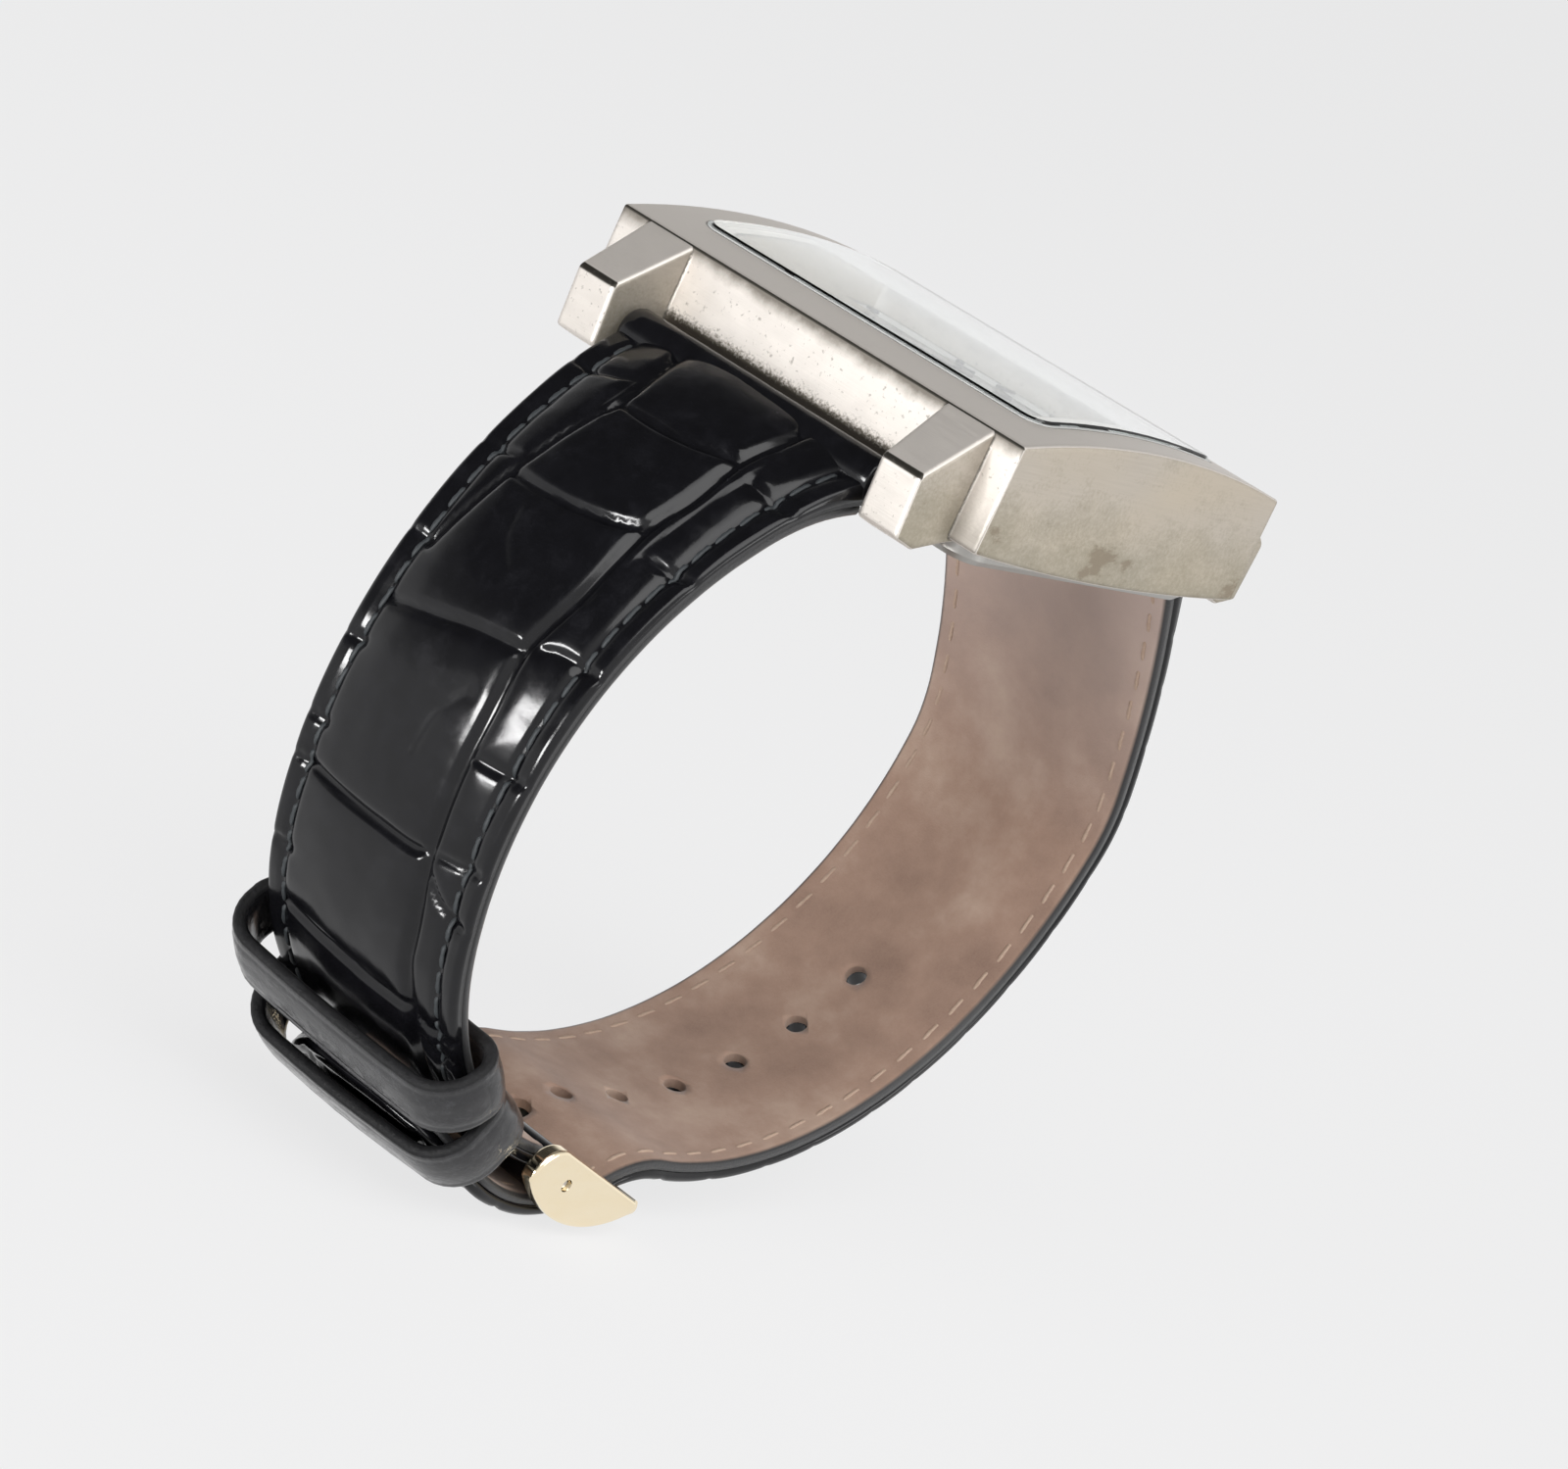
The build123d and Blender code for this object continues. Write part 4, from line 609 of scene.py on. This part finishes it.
def mesh_object(name, points, faces, material, smooth=True, rim=None):
    mesh = bpy.data.meshes.new(name)
    mesh.from_pydata([tuple(float(c) * MM for c in p) for p in points], [], faces)
    mesh.update()
    if rim is not None:
        layer = mesh.attributes.new("rim", "FLOAT", "POINT")
        layer.data.foreach_set("value", np.array(rim, np.float32))
    mesh.materials.append(material)
    obj = bpy.data.objects.new(name, mesh)
    bpy.context.scene.collection.objects.link(obj)
    tidy = bmesh.new()
    tidy.from_mesh(mesh)
    bmesh.ops.recalc_face_normals(tidy, faces=tidy.faces)
    tidy.to_mesh(mesh)
    tidy.free()
    mesh.polygons.foreach_set("use_smooth", [smooth] * len(mesh.polygons))
    return obj


def ring_faces(rows, count):
    """Quads between successive closed rings, with one face at each end."""
    faces = []
    for i in range(rows - 1):
        for j in range(count):
            k = (j + 1) % count
            faces.append((i * count + j, i * count + k, (i + 1) * count + k, (i + 1) * count + j))
    faces.append(tuple(range(count - 1, -1, -1)))
    faces.append(tuple((rows - 1) * count + j for j in range(count)))
    return faces


def stations_along(first, last, pitch):
    stations = np.arange(first, last + pitch / 2, pitch)
    stations[-1] = last
    return stations


def rounded_drop(depth_in, radius):
    """How far a rounded edge falls at a distance in from the side."""
    if depth_in >= radius:
        return 0.0
    return radius - sqrt(max(0.0, radius**2 - (radius - depth_in) ** 2))


# Leather: points across its top and bottom, edge rounding, stitch channel, dome, and its fade at the long tip
ACROSS, BOTTOM = 84, 8
EDGE_ROUND, EDGE_SHARE, SIDE_CLEARANCE = 0.42, 0.9, 0.02
CHANNEL_DEPTH, CHANNEL_HALF = 0.20, 0.32
DOME_POWER, TAIL_FADE = 2.6, 3.0
LEAST_THICKNESS, SEAM_GAP = 0.25, 0.01
# The relief fades to this share at the edge
FADE_WIDTH, EDGE_RELIEF_SHARE = 0.9, 0.25


def leather_mesh(name, seam, last, grooves, seed, pitch):
    """Padded leather with rounded edges and a stitch channel; its embossing is in the mesh."""
    stations = stations_along(0.0, last, pitch)
    half = np.array([strap_half(s, seam) for s in stations])
    s_grid = np.repeat(stations[:, None], ACROSS, 1)
    x_grid = np.linspace(-1, 1, ACROSS)[None, :] * (half[:, None] - SIDE_CLEARANCE)
    relief = groove_relief(s_grid, x_grid, grooves) + ripple(s_grid, x_grid, seed)
    points = []
    # Each ring runs over the top from one edge to the other, then back along the bottom
    for i, s in enumerate(stations):
        y, z, ny, nz, _ = seam.at(s)
        w = half[i] - stitch_inset(s)
        margin, crown = falling(s, *MARGIN_HEIGHT), falling(s, *CROWN_HEIGHT)
        fade = 1.0
        if seam is long_seam:
            fade = min(1.0, max(0.0, (seam.length - s) / TAIL_FADE))
        for j in range(ACROSS):
            x = x_grid[i, j]
            t = min(1.0, abs(x) / max(w, 0.1))
            dome = (crown - margin) * (1 - t**DOME_POWER) * fade
            channel = -CHANNEL_DEPTH * np.exp(-(((abs(x) - w) / CHANNEL_HALF) ** 2)) * fade
            lean = min(1.0, (half[i] - abs(x)) / FADE_WIDTH + EDGE_RELIEF_SHARE) * fade
            h = margin + dome + channel + relief[i, j] * lean
            h -= rounded_drop(half[i] - abs(x), EDGE_ROUND) * EDGE_SHARE
            h = max(h, LEAST_THICKNESS)
            points.append((x, y + ny * h, z + nz * h))
        for j in range(BOTTOM):
            x = half[i] * (1 - 2 * j / (BOTTOM - 1)) * (0.999 if j in (0, BOTTOM - 1) else 1)
            points.append((x, y + ny * SEAM_GAP, z + nz * SEAM_GAP))
    return mesh_object(name, points, ring_faces(len(stations), ACROSS + BOTTOM), black_leather)


# Lining: pitch of its rings, points across, heights of its two faces, rounding, black edge and stitch line
LINING_PITCH, LINING_ACROSS = 0.8, 30
LINING_LOW, LINING_HIGH, LINING_CLEARANCE = -0.72, -0.05, 0.04
LINING_ROUND, LINING_RIM, LINING_INSET = 0.3, 0.24, 1.35


def lining_mesh(name, seam, first, last):
    """Thin lining with soft edges, black along its cut edge, pressed in along its stitches."""
    stations = stations_along(first, last, LINING_PITCH)
    points, rim = [], []
    for s in stations:
        y, z, ny, nz, _ = seam.at(s)
        half = strap_half(s, seam) - LINING_CLEARANCE
        for side in (1, -1):
            for j in range(LINING_ACROSS):
                u = side * (-1 + 2 * j / (LINING_ACROSS - 1))
                # Points gather near the edges
                u = np.sign(u) * (1 - (1 - abs(u)) ** 1.6)
                x = u * half
                d = half - abs(x)
                h = LINING_HIGH
                if side == 1:
                    dip = abs(abs(x) - (half - LINING_INSET))
                    h = LINING_LOW + rounded_drop(d, LINING_ROUND)
                    h += 0.05 * np.exp(-((dip / 0.3) ** 2)) + 0.02 * noise.noise((s * 0.5, x * 0.5, 2.0))
                points.append((x, y + ny * h, z + nz * h))
                rim.append(1.0 if side == -1 or d < LINING_RIM else 0.0)
    return mesh_object(name, points, ring_faces(len(stations), 2 * LINING_ACROSS), tan_lining, rim=rim)


# Folds round the spring bars, and how their ends roll over
FOLD_RADIUS, FOLD_BORE, FOLD_TURNS = 1.6, 0.79, 36
ROLL_DROP, ROLL_EASE, ROLL_REACH = 0.28, 0.09, 0.30


def fold_mesh(name, cy, cz, spans):
    """Leather folded round a spring bar: a tube with rolled ends for each span along X."""
    points, faces = [], []
    for low, high in spans:
        base = len(points)
        steps = max(3, int((high - low) / 0.8))
        middle = np.linspace(low + ROLL_REACH, high - ROLL_REACH, steps)[1:-1]
        profile = [(low, FOLD_BORE), (low, FOLD_RADIUS - ROLL_DROP),
                   (low + ROLL_EASE, FOLD_RADIUS - ROLL_EASE), (low + ROLL_REACH, FOLD_RADIUS)]
        profile += [(x, FOLD_RADIUS) for x in middle]
        profile += [(high - ROLL_REACH, FOLD_RADIUS), (high - ROLL_EASE, FOLD_RADIUS - ROLL_EASE),
                    (high, FOLD_RADIUS - ROLL_DROP), (high, FOLD_BORE)]
        profile += [(x, FOLD_BORE) for x in middle[::-1]]
        for k in range(FOLD_TURNS):
            a = 2 * pi * k / FOLD_TURNS
            for x, r in profile:
                if r > FOLD_BORE:
                    r += 0.03 * noise.noise((x * 0.6, 3 * cos(a), 3 * sin(a)))
                points.append((x, cy + r * cos(a), cz + r * sin(a)))
        n = len(profile)
        for k in range(FOLD_TURNS):
            here, beyond = base + k * n, base + ((k + 1) % FOLD_TURNS) * n
            for j in range(n):
                nxt = (j + 1) % n
                faces.append((here + j, here + nxt, beyond + nxt, beyond + j))
    return mesh_object(name, points, faces, black_leather)


def stitch_mesh(name, seam, first, last, inset, height, dip, radius, length, pitch, material, grooves=()):
    """Two rows of stitches: each a plump two-ply bead of thread that dips at both ends."""
    points, faces = [], []
    around, steps = 8, 9
    for side in (-1, 1):
        s = first
        while s + length < last:
            base = len(points)
            run = s + length * np.linspace(0, 1, steps)
            rest = side * np.array([strap_half(ds, seam) - inset(ds) for ds in run])
            sunk = groove_relief(run, rest, grooves) if grooves else np.zeros(steps)
            for i in range(steps):
                t = i / (steps - 1)
                ds = s + length * t
                y, z, ny, nz, _ = seam.at(ds)
                x = side * (strap_half(ds, seam) - inset(ds)) + 0.10 * side * (t - 0.5)
                h = height(ds) + sunk[i] - dip * (2 * t - 1) ** 4
                r = radius * sqrt(max(0.05, 1 - (2 * t - 1) ** 6)) * (1 + 0.10 * sin(t * 4 * pi))
                for k in range(around):
                    # Twisted, and squeezed to an oval
                    a = 2 * pi * k / around + 2.2 * t
                    squeeze = 1.0 + 0.22 * cos(2 * a)
                    ph = h + r * 0.85 * squeeze * sin(a)
                    points.append((x + r * squeeze * cos(a), y + ny * ph, z + nz * ph))
            faces += [tuple(base + q for q in f) for f in ring_faces(steps, around)]
            s += pitch
    return mesh_object(name, points, faces, material)


CUT_DEPTH, CUT_TURNS = 3.4, 28


def cutter(name, seam, s, length, half):
    """A slot or round prism square to the strap, used to cut a hole."""
    y, z, ny, nz, heading = seam.at(s)
    ty, tz = cos(radians(heading)), sin(radians(heading))
    outline = []
    straight = max(0.0, length / 2 - half)
    for k in range(CUT_TURNS):
        a = 2 * pi * k / CUT_TURNS
        outline.append((half * cos(a) + (straight if cos(a) > 0 else -straight), half * sin(a)))
    points = []
    for h in (-CUT_DEPTH, CUT_DEPTH):
        for along, x in outline:
            points.append((x, y + ty * along + ny * h, z + tz * along + nz * h))
    n = CUT_TURNS
    faces = [tuple(range(n - 1, -1, -1)), tuple(range(n, 2 * n))]
    faces += [(j, (j + 1) % n, n + (j + 1) % n, n + j) for j in range(n)]
    return mesh_object(name, points, faces, black_leather, smooth=False)


def cut_holes(obj, tools):
    for tool in tools:
        change = obj.modifiers.new("hole", "BOOLEAN")
        change.object = tool
        change.operation = "DIFFERENCE"
        change.solver = "EXACT"
        with bpy.context.temp_override(object=obj, active_object=obj, selected_objects=[obj]):
            bpy.ops.object.modifier_apply(modifier=change.name)


# Straps
SHORT_LEATHER_END, SHORT_LINING_END, LINING_START = 62.3, 61.9, 0.75
HOLES, HOLE_FROM_TIP, HOLE_PITCH, HOLE_RADIUS = 8, 10.0, 5.9, 0.8
# The hole that the tang uses is worn to a slot
WORN_HOLE, WORN_LENGTH, WORN_HALF = 1, 6.0, 1.0
LUG_FOLD = [(-11.28, 11.28)]
BUCKLE_FOLDS = [(-8.88, -1.32), (1.32, 8.88)]

short_leather = leather_mesh(
    "short_strap_leather_form", short_seam, SHORT_LEATHER_END, SHORT_GROOVES, seed=3.0, pitch=0.27
)
short_lining = lining_mesh("short_strap_lining_form", short_seam, LINING_START, SHORT_LINING_END)
LONG_GROOVES = long_grooves()
long_leather = leather_mesh(
    "long_strap_leather_form", long_seam, long_seam.length, LONG_GROOVES, seed=9.0, pitch=0.30
)
long_lining = lining_mesh("long_strap_lining_form", long_seam, LINING_START, long_seam.length - 0.02)
tools = []
for index in range(HOLES):
    s = long_seam.length - HOLE_FROM_TIP - HOLE_PITCH * index
    if index == WORN_HOLE:
        tools.append(cutter(f"hole_{index}", long_seam, s, WORN_LENGTH, WORN_HALF))
    else:
        tools.append(cutter(f"hole_{index}", long_seam, s, 2 * HOLE_RADIUS, HOLE_RADIUS))
cut_holes(long_leather, tools)
cut_holes(long_lining, tools)
for tool in tools:
    bpy.data.objects.remove(tool)

fold_12 = fold_mesh("short_strap_lug_fold", LUG_BAR_Y, LUG_BAR_Z, LUG_FOLD)
fold_6 = fold_mesh("long_strap_lug_fold", -LUG_BAR_Y, LUG_BAR_Z, LUG_FOLD)
buckle_fold = fold_mesh("short_strap_buckle_fold", BUCKLE_BAR_Y, BUCKLE_BAR_Z, BUCKLE_FOLDS)


def top_height(s):
    return falling(s, *MARGIN_HEIGHT) - 0.10


def under_inset(s):
    return 1.35


def under_height(s):
    return -0.70


TOP_STITCH = {
    "inset": stitch_inset, "height": top_height, "dip": 0.12, "radius": 0.15, "length": 1.70, "pitch": 1.85,
    "material": dark_thread,
}
UNDER_STITCH = {
    "inset": under_inset, "height": under_height, "dip": -0.12, "radius": 0.13, "length": 1.9, "pitch": 2.6,
    "material": pale_thread,
}
TIP_FREE = 7.5
short_top = stitch_mesh("short_strap_stitches", short_seam, 1.2, 60.5, **TOP_STITCH, grooves=SHORT_GROOVES)
long_top = stitch_mesh(
    "long_strap_stitches", long_seam, 1.2, long_seam.length - TIP_FREE, **TOP_STITCH, grooves=LONG_GROOVES
)
short_under = stitch_mesh("short_lining_stitches", short_seam, 3.0, 60.0, **UNDER_STITCH)
long_under = stitch_mesh("long_lining_stitches", long_seam, 3.0, long_seam.length - TIP_FREE, **UNDER_STITCH)
outsides = (short_leather, long_leather, fold_12, fold_6, buckle_fold, short_top, long_top)
insides = (short_lining, long_lining, short_under, long_under)
for obj in (*outsides, *insides):
    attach(obj, "case")
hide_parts("buckle_strap_leather")
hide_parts("hole_strap_leather")
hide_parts("buckle_strap_lining")
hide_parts("hole_strap_lining")

# Keepers: where the loop's floor lies from the seam line, the leather's thickness, how far the outer side
# falls to its corners and leans as it bows, the rounding of the cut edges, and the loop's corner radii
KEEPER_FLOOR, KEEPER_LEATHER = -1.2, 1.05
KEEPER_FALL, KEEPER_BOW, KEEPER_EDGE = 0.15, 0.4, 0.38
INNER_CORNER, OUTER_CORNER = 1.2, 2.5


def loop_path(inner, room):
    """A keeper's inner outline in (x, outward): at each point a centre, a radius and the normal's angle."""
    lean = atan2(2 * KEEPER_BOW, inner)
    low, high = INNER_CORNER, OUTER_CORNER
    low_centre, high_centre = KEEPER_FLOOR + low, room - KEEPER_FALL - high
    corners = [
        (inner - low, low_centre, low, -pi / 2, 0.0), (inner - high, high_centre, high, 0.0, pi / 2 - lean),
        (high - inner, high_centre, high, pi / 2 + lean, pi), (low - inner, low_centre, low, pi, 1.5 * pi),
    ]
    path = []
    for index, (cx, cy, radius, first, last) in enumerate(corners):
        for k in range(9):
            path.append((cx, cy, radius, first + (last - first) * k / 8))
        next_x, next_y, next_radius, next_first, _ = corners[(index + 1) % 4]
        for t in np.linspace(0, 1, 14)[1:-1]:
            a, rise = last + (((next_first - last + pi) % (2 * pi)) - pi) * t, 0.0
            # The outer side bows; the others are straight
            if index == 1:
                across = 2 * t - 1
                a, rise = pi / 2 + lean * across, KEEPER_FALL * (1 - across**2)
            centre = cx + (next_x - cx) * t, cy + (next_y - cy) * t + rise
            path.append((*centre, radius + (next_radius - radius) * t, a))
    return path


def strip_section(width):
    """A keeper's section as (along the strap, out from the loop), and 1 for each point on a cut edge."""
    flat = width / 2 - KEEPER_EDGE
    cut = []
    for a in (-60, -30, 0, 30, 60):
        out = KEEPER_EDGE * 0.9 + (KEEPER_LEATHER - 1.8 * KEEPER_EDGE) * (a + 60) / 120
        out += KEEPER_EDGE * 0.6 * sin(radians(a))
        cut.append((flat + KEEPER_EDGE * cos(radians(a)), out))
    inside = [(t * flat, 0.0) for t in np.linspace(-1, 1, 13)]
    outside = []
    for t in np.linspace(1, -1, 25):
        # Crowned, with a line pressed in along each edge
        swell = 0.12 * (1 - t * t) - 0.02 - 0.045 * np.exp(-(((abs(t) - 0.80) / 0.06) ** 2))
        outside.append((t * flat, KEEPER_LEATHER - 0.06 + swell))
    section = [*inside, *cut, *outside, *((-along, out) for along, out in reversed(cut))]
    rims = [*([0.0] * len(inside)), *([1.0] * len(cut)), *([0.0] * len(outside)), *([1.0] * len(cut))]
    return section, rims


def keeper_mesh(name, station, width, inner, room, skew, seed):
    """Leather loop: a strip with a crowned outer face swept round a rounded rectangle."""
    y, z, ny, nz, heading = short_seam.at(station)
    ty, tz = cos(radians(heading)), sin(radians(heading))
    path = loop_path(inner, room)
    section, rims = strip_section(width)
    turn = radians(skew)
    points = []
    for cx, cy, radius, a in path:
        for along, out in section:
            wobble = 0.0
            if out > 0.2:
                wobble = 0.05 * noise.noise((cx * 0.25, cy * 0.3 + along * 0.4, seed))
                wobble += 0.03 * noise.noise((cx * 0.9, along * 1.3, seed + 5))
            r = radius + out + wobble
            x, h = cx + r * cos(a), cy + r * sin(a)
            slide = along * (1 + 0.02 * noise.noise((cx * 0.5, cy, seed + 9)))
            # Skewed about the outward direction
            xs, ds = x * cos(turn) + slide * sin(turn), slide * cos(turn) - x * sin(turn)
            points.append((xs, y + ty * ds + ny * h, z + tz * ds + nz * h))
    n, m = len(path), len(section)
    faces = []
    for i in range(n):
        here, beyond = i * m, ((i + 1) % n) * m
        for j in range(m):
            nxt = (j + 1) % m
            faces.append((here + j, here + nxt, beyond + nxt, beyond + j))
    return mesh_object(name, points, faces, keeper_leather, rim=rims * n)


sliding = keeper_mesh(
    "sliding_keeper_form", station=49.2, width=4.6, inner=10.0, room=3.0, skew=4.4, seed=1.0
)
fixed = keeper_mesh("fixed_keeper_form", station=54.9, width=4.8, inner=9.0, room=4.15, skew=3.6, seed=6.0)
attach(sliding, "keeper")
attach(fixed, "case")
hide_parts("sliding_keeper")
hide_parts("fixed_keeper")

# Printed minute track on the dial: two thin rectangles with ticks between them
DIAL_TOP = 6.385
DIAL_HALF_X, DIAL_HALF_Y = 13.6, 9.1
TRACK_INSETS, TICK_INSET, TICK_LENGTH = (3.3, 3.9), 3.6, 0.5
THIN_LINE, HOUR_LINE = 0.05, 0.12
INK_LOW, INK_HIGH = -0.01, 0.03
BOX_FACES = ((3, 2, 1, 0), (4, 5, 6, 7), (0, 1, 5, 4), (1, 2, 6, 5), (2, 3, 7, 6), (3, 0, 4, 7))


def track_mesh():
    points, faces = [], []

    def bar(cx, cy, length, width, angle):
        base = len(points)
        c, s = cos(angle), sin(angle)
        for h in (INK_LOW, INK_HIGH):
            for a, b in ((-length, -width), (length, -width), (length, width), (-length, width)):
                points.append((cx + (a * c - b * s) / 2, cy + (a * s + b * c) / 2, DIAL_TOP + h))
        faces.extend(tuple(base + q for q in f) for f in BOX_FACES)

    for inset in TRACK_INSETS:
        hx, hy = DIAL_HALF_X - inset, DIAL_HALF_Y - inset
        bar(0, hy, 2 * hx, THIN_LINE, 0)
        bar(0, -hy, 2 * hx, THIN_LINE, 0)
        bar(hx, 0, 2 * hy, THIN_LINE, pi / 2)
        bar(-hx, 0, 2 * hy, THIN_LINE, pi / 2)
    hx, hy = DIAL_HALF_X - TICK_INSET, DIAL_HALF_Y - TICK_INSET
    for minute in range(60):
        a = radians(90 - 6 * minute)
        reach = min(hx / max(abs(cos(a)), 1e-6), hy / max(abs(sin(a)), 1e-6))
        across = abs(cos(a)) * hy > abs(sin(a)) * hx
        width = HOUR_LINE if minute % 5 == 0 else THIN_LINE
        bar(reach * cos(a), reach * sin(a), TICK_LENGTH, width, 0 if across else pi / 2)
    return mesh_object("dial_track", points, faces, ink, smooth=False)


track = track_mesh()
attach(track, "case")

# Smooth shading by angle on what shows of the solids
SHARP_ANGLE = 35
for name in ("mid_case", "case_back", "crystal", "crown", "buckle_frame", "buckle_tang", "crystal_gasket"):
    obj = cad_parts[name]
    obj.data.polygons.foreach_set("use_smooth", [True] * len(obj.data.polygons))
    obj.data.set_sharp_from_angle(angle=radians(SHARP_ANGLE))

# Colour of the stage and the room as the camera sees them
PALE = colour(0.885, 0.885, 0.888)
FLOOR_REACH = 4.0


def make_floor():
    """Pale floor under the watch, mostly of an even glow where it is seen, so that it stays plain."""
    low = cad_box[0][2]
    mesh = bpy.data.meshes.new("floor")
    square = ((-1, -1), (1, -1), (1, 1), (-1, 1))
    mesh.from_pydata([(x * FLOOR_REACH, y * FLOOR_REACH, low) for x, y in square], [], [(0, 1, 2, 3)])
    floor = bpy.data.objects.new("floor", mesh)
    bpy.context.scene.collection.objects.link(floor)
    material = bpy.data.materials.new("floor")
    material.use_nodes = True
    tree = material.node_tree
    tree.nodes.clear()
    out = tree.nodes.new("ShaderNodeOutputMaterial")
    diffuse = node(tree, "ShaderNodeBsdfDiffuse", {"Color": colour(0.80, 0.80, 0.805)})
    glow = node(tree, "ShaderNodeEmission", {"Color": PALE, "Strength": 1.0})
    path = tree.nodes.new("ShaderNodeLightPath")
    rays = plus(tree, path.outputs["Is Camera Ray"], path.outputs["Is Glossy Ray"])
    rays = maths(tree, "ADD", rays, path.outputs["Is Transmission Ray"], clamp=True)
    seen = times(tree, rays, 0.86)
    blend = node(tree, "ShaderNodeMixShader", {0: seen, 1: diffuse.outputs[0], 2: glow.outputs[0]})
    tree.links.new(blend.outputs[0], out.inputs[0])
    mesh.materials.append(material)


def make_room():
    """World: a soft room, white low down and to one side and dark overhead, and plain pale to the camera."""
    world = bpy.data.worlds.new("room")
    bpy.context.scene.world = world
    world.use_nodes = True
    tree = world.node_tree
    tree.nodes.clear()
    out = tree.nodes.new("ShaderNodeOutputWorld")
    back = tree.nodes.new("ShaderNodeBackground")
    toward = parts_of(tree, tree.nodes.new("ShaderNodeTexCoord").outputs["Generated"])
    climb = plus(tree, toward[2], times(tree, toward[1], 0.35))
    shades = [(0.0, 1.02), (0.22, 0.72), (0.36, 0.25), (0.55, 0.05), (1.0, 0.035)]
    room = ramp(tree, climb, [(at, grey(shade)) for at, shade in shades])
    aside = times(tree, band(tree, toward[0], -0.05, -0.50), 0.9)
    room = mixed(tree, aside, room, colour(0.95, 0.95, 0.95))
    path = tree.nodes.new("ShaderNodeLightPath")
    rays = maths(tree, "ADD", path.outputs["Is Camera Ray"], path.outputs["Is Transmission Ray"], clamp=True)
    tree.links.new(mixed(tree, rays, room, PALE), back.inputs[0])
    back.inputs[1].default_value = 1.0
    tree.links.new(back.outputs[0], out.inputs[0])


def softbox(name, at, aim, width, height, power):
    """A rectangular lamp: place and aim in metres, power in watts."""
    lamp = bpy.data.lights.new(name, "AREA")
    lamp.shape = "RECTANGLE"
    lamp.size, lamp.size_y = width, height
    lamp.energy = power
    obj = bpy.data.objects.new(name, lamp)
    bpy.context.scene.collection.objects.link(obj)
    obj.location = at
    way = Vector(aim) - Vector(at)
    obj.rotation_euler = way.to_track_quat("-Z", "Y").to_euler()


make_floor()
make_room()
softbox("key", (-0.42, 0.30, 0.62), (0, 0, -0.01), 0.72, 0.72, 4.5)
softbox("low", (0.03, 0.50, -0.012), (0, 0.015, 0.0), 0.22, 0.08, 2.1)
softbox("side", (-0.60, -0.25, 0.10), (0, 0, -0.03), 0.30, 0.26, 0.9)

# Camera solved from the corners of the case in the photograph: its axes, its place in metres and its lens
CAMERA_RIGHT = Vector((-0.68668, -0.59788, 0.41353))
CAMERA_DOWN = Vector((-0.46569, -0.07502, -0.88176))
CAMERA_FORWARD = Vector((0.55821, -0.79807, -0.22692))
CAMERA_PLACE = (-0.19387, 0.27620, 0.05972)
SENSOR, LENS, CLIP_START = 36.0, 121.78, 0.01


def make_camera():
    data = bpy.data.cameras.new("camera")
    camera = bpy.data.objects.new("camera", data)
    bpy.context.scene.collection.objects.link(camera)
    data.sensor_fit = "HORIZONTAL"
    data.sensor_width = SENSOR
    data.lens = LENS
    data.clip_start = CLIP_START
    turn = Matrix((CAMERA_RIGHT, -CAMERA_DOWN, -CAMERA_FORWARD)).transposed().to_4x4()
    camera.matrix_world = Matrix.Translation(CAMERA_PLACE) @ turn
    return camera


bpy.context.scene.camera = make_camera()
bpy.context.scene.view_settings.view_transform = "Standard"
